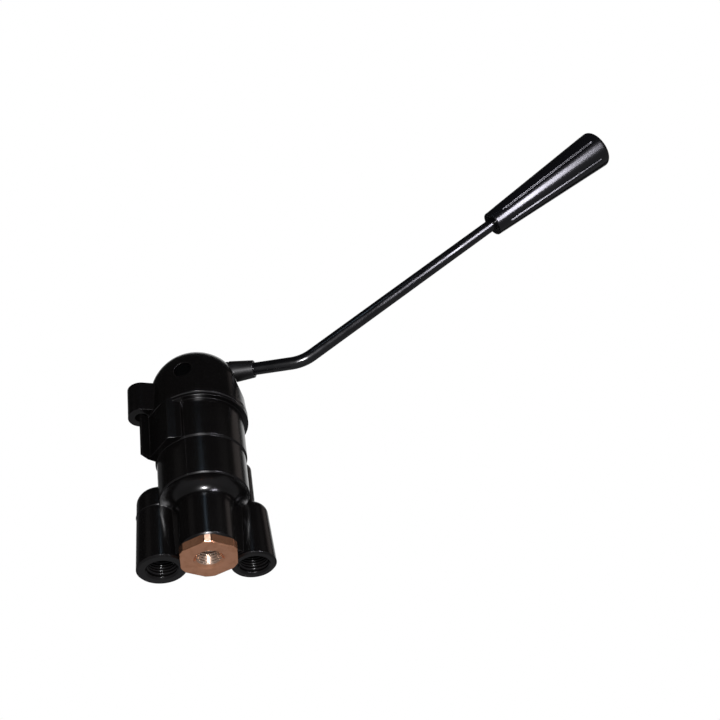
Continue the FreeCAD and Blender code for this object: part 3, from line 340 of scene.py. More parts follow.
@dataclass(frozen=True)
class Finish(ABC):
    """A finish of the object.

    Attributes:
        slot: the record's material slot, which names it.
    """

    slot: str

    @abstractmethod
    def material(self) -> bpy.types.Material:
        """Makes the finish's material."""


@dataclass(frozen=True)
class Moulded(Finish):
    """Plastic or rubber as it leaves the mould, with grain, flow marks, and lighter edges that are partly
    rubbed wear and partly a painted highlight.

    Attributes:
        colour: the colour of the bulk.
        edge_wear_and_sheen: the colour on the edges, partly rubbed wear and partly a painted highlight where
            light catches them.
        roughness: the mean roughness.
        specular: strength of the mirror part.
        grain: size of the mould's grain, mm.
        relief: depth of that grain, mm.
        edge: radius of the edges in the shading, mm.
        flow_size: size of the flow marks, mm.
        dust_size: size of the dust's spots, mm.
        dust_colour: the dust's colour.
        wave_size: size of the waves in the surface, mm.
        wave_relief: depth of those waves, mm.
    """

    colour: Colour = (0.0007, 0.0006, 0.0006)
    edge_wear_and_sheen: Colour = (0.009, 0.008, 0.008)
    roughness: float = 0.22
    specular: float = 0.34
    grain: float = 0.28
    relief: float = 0.012
    edge: float = 0.45
    flow_size: float = 14.0
    dust_size: float = 1.1
    dust_colour: Colour = (0.03, 0.028, 0.027)
    wave_size: float = 5.0
    wave_relief: float = 0.04

    def material(self) -> bpy.types.Material:
        """Makes the moulded material."""
        board = Board(self.slot)
        place = board.place()
        fibres = board.noise(board.stretched(place, (1.0, 1.0, 0.35)), self.grain * 1.6, 3.0, 0.6)
        flow = board.noise(board.stretched(place, (1.0, 1.0, 0.5)), self.flow_size, 2.0, 0.5)
        dust = board.noise(place, self.dust_size, 4.0, 0.7).band(0.62, 0.8)
        rounded, edge_mask = board.soft_edges(self.edge)
        # The edges get a lighter colour here: partly rubbed wear, partly a painted highlight that stands in
        # for light along them.
        wear_and_sheen = edge_mask * flow.band(0.35, 0.6, 0.35, 1.0)
        pale = board.mix(wear_and_sheen, self.colour, self.edge_wear_and_sheen)
        colour = board.mix(dust * 0.10 + fibres.band(0.5, 0.8, 0.0, 0.04), pale, self.dust_colour)
        roughness = self.roughness + (flow - 0.5) * 0.12 + (fibres - 0.5) * 0.06 + dust * 0.1 - wear_and_sheen * 0.03
        waves = board.noise(place, self.wave_size, 1.0, 0.4)
        wavy = board.bump(waves, self.wave_relief, 0.35, rounded)
        normal = board.bump(fibres, self.relief, 0.35, wavy)
        return board.surface(colour, roughness, normal, Specular_IOR_Level=self.specular)


@dataclass(frozen=True)
class Metal(Finish):
    """Bare metal with the fine marks of how it was worked.

    Attributes:
        colour: the colour of the clean metal.
        dull: its colour where it has tarnished.
        roughness: the mean roughness.
        working: how it was worked.
        pitch: spacing of the tool's marks, mm.
        relief: depth of the marks, mm.
        edge: radius of the edges in the shading, mm.
        tapped: radius within which the metal is tapped with a thread, mm.
        tapped_roughness: the roughness there.
        tapped_colour: the colour there, paler, since a thread reflects light more than once.
        cloud_size: size of the tarnish's clouds, mm.
        speck_size: size of its specks, mm.
    """

    colour: Colour = (0.5, 0.5, 0.5)
    dull: Colour = (0.3, 0.3, 0.3)
    roughness: float = 0.3
    working: Working = Working.TURNED
    pitch: float = 0.22
    relief: float = 0.006
    edge: float = 0.25
    tapped: float = 0.0
    tapped_roughness: float = 0.4
    tapped_colour: Colour = (0.58, 0.46, 0.37)
    cloud_size: float = 4.5
    speck_size: float = 0.7

    def marks(self, board: Board, place: Signal) -> Signal:
        """Gives the height of the tool's marks.

        Args:
            board: the material's board.
            place: place in metres.

        Returns:
            The height, from 0 to 1.
        """
        if self.working is Working.SINTERED:
            return board.noise(place, self.pitch, 3.0, 0.7)
        if self.working is Working.DRAWN:
            return board.noise(board.stretched(place, (1.0, 1.0, 0.1)), self.pitch, 2.0, 0.6)
        x, y, _ = board.parts(place)
        radius = (x * x + y * y).root()
        waver = board.noise(place, 9.0, 1.0, 0.5) * 0.5
        normal = board.node("ShaderNodeNewGeometry", output="Normal")
        level = board.parts(normal)[2]
        face = (level * level).band(0.5, 0.9)
        rings = (radius * (2 * math.pi / (self.pitch * MM)) + waver).sine()
        milled = board.noise(board.stretched(place, (0.15, 0.15, 1.0)), self.pitch * 1.5, 2.0, 0.6)
        return (rings * 0.5 + 0.5) * face + milled * (1 - face)

    def material(self) -> bpy.types.Material:
        """Makes the metal."""
        board = Board(self.slot)
        place = board.place()
        marks = self.marks(board, place)
        clouds = board.noise(place, self.cloud_size, 3.0, 0.6)
        specks = board.noise(place, self.speck_size, 3.0, 0.7).band(0.55, 0.75)
        rounded, edge_mask = board.soft_edges(self.edge)
        tarnish = clouds.band(0.4, 0.7) * 0.6 + specks * 0.25
        aged = board.mix(tarnish, self.colour, self.dull)
        bright = tuple(min(1.0, c * 1.25) for c in self.colour)
        colour = board.mix(edge_mask * 0.5, aged, bright)
        roughness = self.roughness + (clouds - 0.5) * 0.14 + (marks - 0.5) * 0.06 + specks * 0.06
        if self.tapped:
            x, y, _ = board.parts(place)
            inside = (x * x + y * y).root().band((self.tapped - 0.3) * MM, self.tapped * MM, 1.0, 0.0)
            roughness = roughness + inside * (self.tapped_roughness - self.roughness)
            colour = board.mix(inside * 0.9, colour, self.tapped_colour)
        normal = board.bump(marks, self.relief, 0.55, rounded)
        return board.surface(colour, roughness, normal, 1.0)


@dataclass(frozen=True)
class Painted(Finish):
    """Steel or a casting under black paint, with the paint's slight waviness.

    Attributes:
        colour: the paint's colour.
        bare: the colour where the paint is rubbed thin.
        roughness: the mean roughness.
        specular: strength of the mirror part.
        wave: size of the waves, mm.
        relief: depth of the waves, mm.
        edge: radius of the edges in the shading, mm.
        smear_size: size of the smears, mm.
        scuff_size: size of the scuffs, mm.
    """

    colour: Colour = (0.0008, 0.0008, 0.0010)
    bare: Colour = (0.02, 0.02, 0.022)
    roughness: float = 0.17
    specular: float = 0.5
    wave: float = 1.2
    relief: float = 0.008
    edge: float = 0.3
    smear_size: float = 7.0
    scuff_size: float = 1.8

    def material(self) -> bpy.types.Material:
        """Makes the painted material."""
        board = Board(self.slot)
        place = board.place()
        peel = board.noise(place, self.wave, 2.0, 0.5)
        smears = board.noise(board.stretched(place, (0.4, 1.0, 0.6)), self.smear_size, 3.0, 0.6)
        scuffs = board.noise(place, self.scuff_size, 4.0, 0.75).band(0.63, 0.74)
        rounded, edge_mask = board.soft_edges(self.edge)
        colour = board.mix(edge_mask * 0.45 + scuffs * 0.10, self.colour, self.bare)
        roughness = self.roughness + smears.band(0.35, 0.75, 0.0, 0.12) + scuffs * 0.12
        normal = board.bump(peel, self.relief, 0.5, rounded)
        return board.surface(colour, roughness, normal, Specular_IOR_Level=self.specular)


FINISHES: dict[str, Finish] = {
    finish.slot: finish
    for finish in (
        Moulded("moulded_nylon"),
        Moulded("black_rubber", (0.003, 0.003, 0.003), (0.012, 0.012, 0.012), 0.55, 0.4, 0.5, 0.02, 0.15),
        Moulded(
            "gloss_black_grip", (0.0009, 0.0009, 0.0013), (0.010, 0.010, 0.012), 0.22, 0.45, 0.2, 0.006, 0.3
        ),
        Moulded("pale_acetal", (0.50, 0.49, 0.45), (0.62, 0.61, 0.57), 0.4, 0.4, 0.4, 0.006, 0.2),
        Metal(
            "brass", (0.97, 0.48, 0.285), (0.70, 0.32, 0.17), 0.17,
            pitch=0.24, edge=0.12, tapped=6.2, tapped_roughness=0.27,
        ),
        Metal("turned_brass", (0.55, 0.36, 0.16), (0.33, 0.2, 0.09), 0.3),
        Metal("bearing_bronze", (0.38, 0.23, 0.11), (0.2, 0.12, 0.06), 0.45, Working.SINTERED, 0.5, 0.02),
        # plated_steel gets a near-black colour here, far darker than bare plated steel.
        Metal("plated_steel", (0.02, 0.02, 0.021), (0.008, 0.008, 0.008), 0.30, Working.SINTERED, 0.8, 0.008),
        Metal("spring_steel", (0.30, 0.30, 0.31), (0.12, 0.115, 0.11), 0.32, Working.DRAWN, 0.3, 0.005),
        Metal("turned_aluminium", (0.62, 0.62, 0.61), (0.42, 0.42, 0.41), 0.32),
        Painted("black_casting", (0.0009, 0.0008, 0.0008), (0.012, 0.011, 0.011), 0.32, 0.45, 0.7, 0.03, 0.4),
        Painted("gloss_black_rod"),
    )
}


@cache
def finished(slot: str) -> bpy.types.Material:
    """Gives the material of a slot, made on first use.

    Args:
        slot: the record's slot.

    Returns:
        The material.
    """
    return FINISHES[slot].material()


def dress_packed_nodes() -> None:
    """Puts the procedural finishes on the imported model's nodes."""
    for name, node in sorted(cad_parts.items()):
        slot = node.material_slots[0].material.name.split(".")[0]
        for place in node.material_slots:
            place.material = finished(slot)
        log.info("dressed %s in %s", name, slot)


def piece(
    name: str, points: np.ndarray, faces: list[tuple[int, ...]], slot: str, rider: Rider,
    sharp: float = SMOOTH_BELOW,
) -> bpy.types.Object:
    """Makes a piece from points in millimetres.

    Args:
        name: the piece's name.
        points: its points, one row each, mm.
        faces: point numbers of each face.
        slot: the slot of its finish.
        rider: the body that it rides on.
        sharp: the angle from which an edge is shaded sharp.

    Returns:
        The piece.
    """
    mesh = bpy.data.meshes.new(name)
    mesh.from_pydata((points.reshape(-1, 3) * MM).tolist(), [], faces)
    mesh.validate()
    mesh.shade_smooth()
    mesh.set_sharp_from_angle(angle=sharp)
    mesh.materials.append(finished(slot))
    made = linked(name, mesh)
    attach(made, rider.value)
    return made


def strips(count: int, around: int, ring: bool = False) -> list[tuple[int, ...]]:
    """Gives the faces between neighbouring loops of points.

    Args:
        count: the number of loops.
        around: the number of points in each loop.
        ring: True where the last loop meets the first.

    Returns:
        Point numbers of each face.
    """
    faces = []
    for i in range(count if ring else count - 1):
        below, above = i * around, (i + 1) % count * around
        for j in range(around):
            k = (j + 1) % around
            faces.append((below + j, below + k, above + k, above + j))
    return faces


def swept(name: str, rows: np.ndarray, slot: str = "moulded_nylon", ring: bool = False) -> bpy.types.Object:
    """Makes a closed piece on the housing from sections, each a closed loop of points.

    Args:
        name: the piece's name.
        rows: the sections, shape (sections, points, 3), mm.
        slot: the slot of its finish.
        ring: True where the last section meets the first.

    Returns:
        The piece.
    """
    count, around = rows.shape[:2]
    faces = strips(count, around, ring)
    if not ring:
        faces.append(tuple(range(around - 1, -1, -1)))
        faces.append(tuple(range((count - 1) * around, count * around)))
    return piece(name, rows, faces, slot, Rider.HOUSING)


def revolved(
    name: str, outline: np.ndarray, swell: np.ndarray, slot: str, rider: Rider, lay: Matrix
) -> bpy.types.Object:
    """Makes a turned piece whose outline starts and ends on its axis.

    Args:
        name: the piece's name.
        outline: (radius, height) pairs; the first and last have radius 0, mm.
        swell: what is added to the radius, one row per inner outline point, one column per angle.
        slot: the slot of its finish.
        rider: the body that it rides on.
        lay: lays the piece, made about +Z, in its place, mm.

    Returns:
        The piece.
    """
    inner = outline[1:-1]
    around = swell.shape[1]
    rows = about_axis((0.0, 0.0), inner[:, :1] + swell, full_turn(around), inner[:, 1:])
    ends = np.array([[0, 0, outline[0, 1]], [0, 0, outline[-1, 1]]])
    points = np.concatenate([rows.reshape(-1, 3), ends])
    turn = np.array(lay)
    points = points @ turn[:3, :3].T + turn[:3, 3]
    faces = strips(len(inner), around)
    first, last = len(points) - 2, (len(inner) - 1) * around
    for j in range(around):
        k = (j + 1) % around
        faces.append((k, j, first))
        faces.append((last + j, last + k, len(points) - 1))
    return piece(name, points, faces, slot, rider, TURNED_SMOOTH_BELOW)


@dataclass(frozen=True)
class PortThread:
    """The screw thread in one side port, a helical ridge that stands in from the bore, mm.

    Attributes:
        name: the piece's name.
        centre: the port's axis in x and y.
        bore: radius of the bore.
        low: height where the thread starts.
        high: height where it ends.
        pitch: rise of one turn.
        depth: how far the crest stands in from the bore.
        foot: half the ridge's width at the bore, in pitches.
        top: half its width at the crest, in pitches.
        steps_per_turn: the number of sections in one turn.
        sunk: how far the foot lies in the wall.
    """

    name: str
    centre: Pair
    bore: float = 7.2
    low: float = 7.2
    high: float = 18.2
    pitch: float = 1.5
    depth: float = 0.72
    foot: float = 0.43
    top: float = 0.09
    steps_per_turn: int = 72
    sunk: float = 0.05

    def build(self) -> None:
        """Makes the ridge, which runs out to nothing over a quarter turn at both ends."""
        turns = (self.high - self.low) / self.pitch
        angle = np.linspace(0, 2 * math.pi * turns, int(turns * self.steps_per_turn) + 1)
        fade = np.clip(np.minimum(angle, angle[-1] - angle) / (math.pi / 2), 0.02, 1)
        root = np.full_like(angle, self.bore + self.sunk)
        crest = self.bore + self.sunk - (self.depth + self.sunk) * fade
        section = [(root, -self.foot), (crest, -self.top), (crest, self.top), (root, self.foot)]
        height = self.low + self.pitch * angle / (2 * math.pi)
        edges = [
            about_axis(self.centre, radius, angle, height + lift * self.pitch) for radius, lift in section
        ]
        swept(self.name, np.stack(edges, 1))


@dataclass(frozen=True)
class BrassAdaptor:
    """The brass supply adaptor with its cut hexagon and its real inner thread, mm.

    Attributes:
        flat: from the axis to each flat.
        corner: from the axis to the flats cut across the corners.
        turn: azimuth of one corner, degrees.
        height: height of the hexagon.
        bevel: bevel of the hexagon's edges.
        chamfer: radius where the turned chamfer of both faces starts.
        chamfer_slope: slope of that chamfer, degrees.
        mouth: radius of the countersink at the bottom face.
        lip: (from that radius, height) of its lip.
        crest: radius of the thread's crest.
        root: radius of its root.
        pitch: rise of one turn.
        thread_low: height of the thread's lowest loop.
        thread_step: from one loop to the next.
        thread_end: height where the thread ends.
        throat: start and end of the narrowing to the passage, above the thread's end.
        passage: radius of the passage above.
        shank: radius of the shank in the body.
        shank_end: height of its end.
        shank_bevel: bevel of its end.
        around: the number of points in one loop.
    """

    flat: float = 13.5
    corner: float = 14.6
    turn: float = 45.0
    height: float = 5.0
    bevel: float = 0.3
    chamfer: float = 14.1
    chamfer_slope: float = 30.0
    mouth: float = 7.35
    lip: tuple[Pair, ...] = ((0.35, 0.0), (0.1, 0.04))
    crest: float = 5.25
    root: float = 5.85
    pitch: float = 1.5
    thread_low: float = 0.15
    thread_step: float = 0.075
    thread_end: float = 11.4
    throat: Pair = (0.2, 1.1)
    passage: float = 3.6
    shank: float = 9.96
    shank_end: float = 16.98
    shank_bevel: float = 0.4
    around: int = 360

    def hexagon(self, angles: np.ndarray) -> np.ndarray:
        """Gives the hexagon's radius at each angle.

        Args:
            angles: azimuths in radians.

        Returns:
            The radii.
        """
        sixth = math.pi / 3
        off = (angles - math.radians(self.turn)) % sixth - sixth / 2
        cut_corner = self.corner / np.cos(sixth / 2 - np.abs(off))
        return np.minimum(self.flat / np.cos(off), cut_corner)

    def thread(self, angles: np.ndarray, height: float) -> np.ndarray:
        """Gives the bore's radius at each angle, with the thread's rounded V.

        Args:
            angles: azimuths in radians.
            height: the height.

        Returns:
            The radii, held by the countersink at the mouth.
        """
        turn = (height / self.pitch - angles / (2 * math.pi)) % 1.0
        vee = 0.5 - 0.5 * np.cos(2 * math.pi * turn)
        fade = min(1.0, max(0.0, (self.thread_end - height) / self.pitch))
        radius = self.root - (self.root - self.crest) * vee
        radius = radius * fade + self.crest * (1 - fade)
        return np.maximum(radius, self.mouth - height)

    def build(self) -> None:
        """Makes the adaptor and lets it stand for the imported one."""
        angles = full_turn(self.around)
        hexagon = self.hexagon(angles)
        slope = math.tan(math.radians(self.chamfer_slope))
        rise = np.maximum(hexagon - self.chamfer, 0) * slope + self.bevel * 0.5
        edge = [
            (np.minimum(hexagon - self.bevel, self.chamfer), 0.0),
            (hexagon - self.bevel * 0.3, rise * 0.9),
            (hexagon, rise + self.bevel * 0.5),
            (hexagon, rise + self.bevel),
        ]
        rows = [
            (self.passage, self.shank_end),
            (self.shank - self.shank_bevel, self.shank_end),
            (self.shank, self.shank_end - self.shank_bevel),
            (self.shank, self.height),
        ]
        rows += [(radius, self.height - level) for radius, level in edge]
        rows += reversed(edge)
        rows += [(self.mouth + out, level) for out, level in self.lip]
        levels = np.arange(self.thread_low, self.thread_end + self.thread_step / 2, self.thread_step)
        rows += [(self.thread(angles, level), level) for level in levels]
        narrowing, narrow = (self.thread_end + above for above in self.throat)
        rows += [(self.crest, narrowing), (self.passage, narrow)]
        loops = np.array([about_axis((0.0, 0.0), radius, angles, level) for radius, level in rows])
        made = swept("brass_supply_adaptor", loops[::-1], "brass", ring=True)
        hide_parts("supply_adaptor")


@dataclass(frozen=True)
class CovedBody:
    """The port body with the wide cove that runs from its neck out to a crisp lower rim, mm.

    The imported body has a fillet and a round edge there. This copy moves the points of those two
    surfaces straight up or down onto the cove, and leaves the rest as it is.

    Attributes:
        neck: radius of the neck.
        fillet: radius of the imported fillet.
        level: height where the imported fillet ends.
        edge_round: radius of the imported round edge.
        step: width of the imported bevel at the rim.
        rim: radius of the cylinder above.
        cove_low: height where the cove leaves the neck.
        cove_high: height of the cove at the rim.
        bevel: height of the rim's bevel.
        near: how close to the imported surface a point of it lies.
    """

    neck: float = 13.5
    fillet: float = 4.0
    level: float = 31.0
    edge_round: float = 4.4
    step: float = 0.5
    rim: float = 22.0
    cove_low: float = 28.6
    cove_high: float = 34.6
    bevel: float = 0.6
    near: float = 0.06

    def packed_level(self, radius: np.ndarray) -> np.ndarray:
        """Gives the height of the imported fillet, round edge and bevel.

        Args:
            radius: distance of each point from the axis.

        Returns:
            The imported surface's height there.
        """
        into_fillet = np.clip(self.neck + self.fillet - radius, 0, self.fillet)
        into_edge = np.clip(radius - self.rim + self.step + self.edge_round, 0, self.edge_round)
        into_bevel = np.clip(radius - self.rim + self.step, 0, self.step)
        fall = self.fillet - np.sqrt(self.fillet**2 - into_fillet**2)
        rise = self.edge_round - np.sqrt(self.edge_round**2 - into_edge**2)
        return self.level - fall + rise + into_bevel

    def cove(self, radius: np.ndarray) -> tuple[np.ndarray, np.ndarray]:
        """Gives the cove's height and slant.

        Args:
            radius: distance of each point from the axis.

        Returns:
            The height there, and the (radial, vertical) parts of the outward normal.
        """
        wide, tall = self.rim - self.neck, self.cove_high - self.cove_low
        share = np.clip((self.rim - radius) / wide, 0, 1)
        lift = np.sqrt(1 - share**2)
        normal = np.stack([share / wide, -lift / tall], 1)
        normal /= np.linalg.norm(normal, axis=1)[:, None]
        rise = np.clip(radius - self.rim + self.step, 0, self.step) * self.bevel / self.step
        return self.cove_low + tall * lift + rise, normal

    def build(self) -> None:
        """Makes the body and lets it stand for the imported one."""
        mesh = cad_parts["port_body"].data.copy()
        mesh.name = "coved_port_body"
        points = np.empty(len(mesh.vertices) * 3)
        mesh.vertices.foreach_get("co", points)
        points = points.reshape(-1, 3) / MM
        normals = np.empty(len(mesh.loops) * 3)
        mesh.corner_normals.foreach_get("vector", normals)
        normals = normals.reshape(-1, 3)
        radius = np.hypot(points[:, 0], points[:, 1])
        between = (radius > self.neck - self.near) & (radius < self.rim + self.near)
        moved = between & (np.abs(points[:, 2] - self.packed_level(radius)) < self.near)
        level, slant = self.cove(radius)
        bevel_slant = np.array([self.bevel, -self.step]) / math.hypot(self.bevel, self.step)
        for face in mesh.polygons:
            if all(moved[point] for point in face.vertices):
                at_rim = any(radius[point] > self.rim - self.near for point in face.vertices)
                for corner, point in zip(face.loop_indices, face.vertices):
                    radial, vertical = bevel_slant if at_rim else slant[point]
                    outward = points[point, :2] / radius[point] * radial
                    normals[corner] = (outward[0], outward[1], vertical)
        points[moved, 2] = level[moved]
        mesh.vertices.foreach_set("co", (points * MM).ravel())
        mesh.normals_split_custom_set(normals.tolist())
        mesh.update()
        made = linked("coved_port_body", mesh)
        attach(made, Rider.HOUSING.value)
        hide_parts("port_body")
        log.info("moved %d of %d points onto the cove", int(moved.sum()), len(points))


@dataclass(frozen=True)
class MouldMarks:
    """Marks that the mould left on the port body: parting ridges, and the split line on a boss, mm.

    Attributes:
        azimuth: direction of the front ridge, degrees from +X towards +Y.
        outline: (radius, height) of the body where the ridge runs.
        ridge_half_width: half the ridge's width at its foot.
        ridge_height: how far it stands out.
        ridge_top: its width at the top, as a share of the foot's.
        ridge_ends: shares of its height at its two ends.
        sunk: how far its foot lies in the body.
        split_level: height of the delivery boss's split line.
        boss_radius: the boss's radius there.
        split_section: (outward, upward) section of the split line.
        split_steps: the number of sections round it.
    """

    azimuth: float = -94.0
    outline: tuple[Pair, ...] = (
        (21.75, 34.95), (22.0, 35.4), (22.0, 45.0), (22.0, 56.9), (22.7, 57.8), (22.7, 66.0), (22.7, 80.4),
    )
    ridge_half_width: float = 0.22
    ridge_height: float = 0.2
    ridge_top: float = 0.45
    ridge_ends: Pair = (0.1, 0.6)
    sunk: float = 0.2
    split_level: float = 35.5
    boss_radius: float = 11.376
    split_section: tuple[Pair, ...] = (
        (0.10, -0.05), (0.12, 0.06), (-0.05, 0.30), (-0.4, 0.30), (-0.4, -0.30), (-0.05, -0.24),
    )
    split_steps: int = 160

    def ridge(self, name: str, azimuth: float) -> None:
        """Makes one parting ridge.

        Args:
            name: the piece's name.
            azimuth: its direction in degrees.
        """
        path = np.array(self.outline)
        along = np.gradient(path, axis=0)
        along /= np.linalg.norm(along, axis=1)[:, None]
        outward = np.stack([along[:, 1], -along[:, 0]], 1)
        turn = math.radians(azimuth)
        radial = np.array([math.cos(turn), math.sin(turn), 0.0])
        side = np.array([-math.sin(turn), math.cos(turn), 0.0]) * self.ridge_half_width
        fade = np.ones(len(path))
        fade[[0, -1]] = self.ridge_ends
        section = [(-1.0, 0.0), (-self.ridge_top, 1.0), (self.ridge_top, 1.0), (1.0, 0.0)]
        rows = []
        for (radius, height), (out_r, out_z), share in zip(path, outward, fade):
            base = radial * radius + np.array([0, 0, height])
            lift = radial * out_r + np.array([0, 0, out_z])
            top = lift * self.ridge_height * share
            loop = [base + side * s + top * h for s, h in section]
            loop += [base + side * s - lift * self.sunk for s in (1.0, -1.0)]
            rows.append(loop)
        swept(name, np.array(rows))

    def split_line(self) -> None:
        """Makes the fine split line round the delivery boss."""
        angles = full_turn(self.split_steps)
        edges = [
            about_axis(DELIVERY_AXIS, self.boss_radius + out, angles, self.split_level + lift)
            for out, lift in self.split_section
        ]
        swept("boss_split_line", np.stack(edges, 1), ring=True)

    def build(self) -> None:
        """Makes both ridges and the split line."""
        self.ridge("front_parting_ridge", self.azimuth)
        self.ridge("rear_parting_ridge", self.azimuth + 180)
        self.split_line()


@dataclass(frozen=True)
class HandGrip:
    """The tapered hand grip with its long narrow flutes, which stands for the plain solid, mm.

    Attributes:
        bend: the rod's bend in x and z.
        slope: the rod's outer run above the horizontal, degrees.
        start: from the bend to the grip's narrow end.
        length: length of the grip.
        bore: radius of the mouth that the rod enters.
        bore_depth: depth of the bore.
        mouth: (from the neck's radius, height) of the rounded face round the mouth.
        neck: radius of the narrow end.
        neck_length: length of the plain narrow end.
        taper_steps: the number of points along the taper.
        end: radius of the wide end.
        end_round: rounding of the wide end.
        round_steps: the number of points along that rounding.
        recess: (radius, from the wide end) of the shallow recess in it.
        flutes: the number of flutes.
        flute_turn: angle of the first flute, degrees.
        flute_half_angle: half the angle that a flute takes, degrees.
        flute_depth: depth of a flute.
        flute_low: where the flutes start.
        flute_high: where they end.
        flute_run_in: length in which they reach their depth.
        flute_run_out: length in which they lose it.
        around: the number of points in one loop.
    """

    bend: Pair = (57.9, 106.3)
    slope: float = 29.0
    start: float = 132.7
    length: float = 80.0
    bore: float = 3.37
    bore_depth: float = 60.2
    mouth: tuple[Pair, ...] = ((-1.6, 0.1), (-0.7, 0.0), (-0.1, 0.1), (0.0, 0.4))
    neck: float = 6.85
    neck_length: float = 1.0
    taper_steps: int = 110
    end: float = 10.85
    end_round: float = 2.0
    round_steps: int = 9
    recess: tuple[Pair, ...] = ((6.6, 0.0), (6.3, -0.12), (6.0, -0.4), (5.6, -0.45), (0.0, -0.45))
    flutes: int = 6
    flute_turn: float = 17.0
    flute_half_angle: float = 5.6
    flute_depth: float = 0.55
    flute_low: float = 7.0
    flute_high: float = 74.5
    flute_run_in: float = 2.5
    flute_run_out: float = 1.2
    around: int = 384

    def outline(self) -> np.ndarray:
        """Gives the (radius, height) outline from the bore's floor to the wide end's middle."""
        points = [(0, self.bore_depth), (self.bore, self.bore_depth - 0.2)]
        points += [(self.bore, 0.5), (self.bore + 0.1, 0.25)]
        points += [(self.neck + out, height) for out, height in self.mouth]
        corner = self.length - self.end_round
        heights = np.linspace(self.neck_length, corner, self.taper_steps)
        points += zip(np.linspace(self.neck, self.end, self.taper_steps), heights)
        turn = np.linspace(0, math.pi / 2, self.round_steps)[1:]
        drop = self.end_round * (1 - np.cos(turn))
        points += zip(self.end - drop, corner + self.end_round * np.sin(turn))
        points += [(radius, self.length + height) for radius, height in self.recess]
        return np.array(points)

    def flute_swell(self, outline: np.ndarray) -> np.ndarray:
        """Gives what the flutes take from the radius at each inner outline point and angle.

        Args:
            outline: the (radius, height) outline.

        Returns:
            Millimetres to add to the radius, negative in a flute.
        """
        inner = outline[1:-1]
        spacing = 2 * math.pi / self.flutes
        off = (full_turn(self.around) - math.radians(self.flute_turn) + spacing / 2) % spacing - spacing / 2
        across = np.clip(off / math.radians(self.flute_half_angle), -1, 1)[None, :]
        groove = 0.5 + 0.5 * np.cos(math.pi * across)
        rise = np.clip((inner[:, 1] - self.flute_low) / self.flute_run_in, 0, 1)
        fall = np.clip((self.flute_high - inner[:, 1]) / self.flute_run_out, 0, 1)
        outer = inner[:, 0] > self.neck - 0.05
        ends = np.sqrt(np.clip(np.minimum(rise, fall), 0, 1)) * outer
        return -self.flute_depth * groove * ends[:, None]

    def build(self) -> None:
        """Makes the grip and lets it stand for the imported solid."""
        slope = math.radians(self.slope)
        away = Vector((math.cos(slope), 0, math.sin(slope)))
        base = Vector((self.bend[0], 0, self.bend[1])) + away * self.start
        turn = away.to_track_quat("Z", "Y").to_matrix().to_4x4()
        lay = Matrix.Translation(base) @ turn
        outline = self.outline()
        swell = self.flute_swell(outline)
        grip = revolved("hand_grip", outline, swell, "gloss_black_grip", Rider.LEVER, lay)
        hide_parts("lever_grip")


@dataclass(frozen=True)
class PhotoCamera:
    """The photograph's camera, found by fitting the object's outline.

    Attributes:
        pixels: side of the square picture.
        lens: focal length, mm.
        sensor: width of the sensor, mm.
        elevation: how far the camera looks up, degrees.
        roll: turn about the line of sight, degrees.
        azimuth: turn of the object about its own axis, degrees.
        distance: from the camera to the aim, mm.
        aim: the aimed point, mm.
        aim_pixel: where the aimed point is in the picture.
    """

    pixels: float = 720.0
    lens: float = 60.0
    sensor: float = 36.0
    elevation: float = 35.95
    roll: float = -4.76
    azimuth: float = 15.0
    distance: float = 586.81
    aim: Point = (0.0, 0.0, 30.0)
    aim_pixel: Pair = (205.12, 507.4)

    def pose(self) -> Matrix:
        """Gives the camera's matrix in the object's frame, in metres."""
        tilt, roll = math.radians(self.elevation), math.radians(self.roll)
        ahead = Vector((0, math.cos(tilt), math.sin(tilt)))
        up = Vector((0, -math.sin(tilt), math.cos(tilt)))
        right = Vector((1, 0, 0))
        across = right * math.cos(roll) + up * math.sin(roll)
        down = right * math.sin(roll) - up * math.cos(roll)
        focal = self.lens / self.sensor * self.pixels
        half = self.pixels / 2
        offset = [(pixel - half) / focal for pixel in self.aim_pixel]
        aimed = Vector((*offset, 1)).normalized()
        swing: Quaternion = Vector((0, 0, 1)).rotation_difference(aimed)
        rows = swing.to_matrix() @ Matrix((across, down, ahead))
        centre = (Vector(self.aim) - ahead * self.distance) * MM
        axes = Matrix((rows[0], -rows[1], -rows[2])).transposed().to_4x4()
        about = Matrix.Rotation(math.radians(self.azimuth), 4, "Z")
        return about @ Matrix.Translation(centre) @ axes

    def build(self) -> bpy.types.Object:
        """Makes the camera and gives it to the scene."""
        data = bpy.data.cameras.new("photo_camera")
        data.lens = self.lens
        data.sensor_width = self.sensor
        data.clip_start, data.clip_end = 0.01, 20.0
        camera = linked("photo_camera", data)
        camera.matrix_world = self.pose()
        bpy.context.scene.camera = camera
        return camera


@dataclass(frozen=True)
class Lamp:
    """One soft lamp.

    Attributes:
        name: the lamp's name.
        place: its place in metres, as seen by the camera: right, away, up.
        width: its width in metres.
        height: its height in metres.
        power: watts.
        colour: its light's colour.
        aim: what it points at, in the same directions.
        roll: its turn about the line to there, degrees.
    """

    name: str
    place: Point
    width: float
    height: float
    power: float
    colour: Colour = (1.0, 1.0, 1.0)
    aim: Point = (0.03, 0.0, 0.08)
    roll: float = 0.0

    def build(self, turn: float) -> None:
        """Makes the lamp.

        Args:
            turn: degrees from the object's frame to the camera's right, away and up.
        """
        data = bpy.data.lights.new(self.name, "AREA")
        data.shape = "RECTANGLE"
        data.size, data.size_y = self.width, self.height
        data.energy = self.power
        data.color = self.colour
        lamp = linked(self.name, data)
        about = Matrix.Rotation(math.radians(turn), 3, "Z")
        lamp.location = about @ Vector(self.place)
        facing = (about @ Vector(self.aim) - lamp.location).to_track_quat("-Z", "Y")
        lamp.rotation_euler = (facing @ Quaternion((0, 0, 1), math.radians(self.roll))).to_euler()


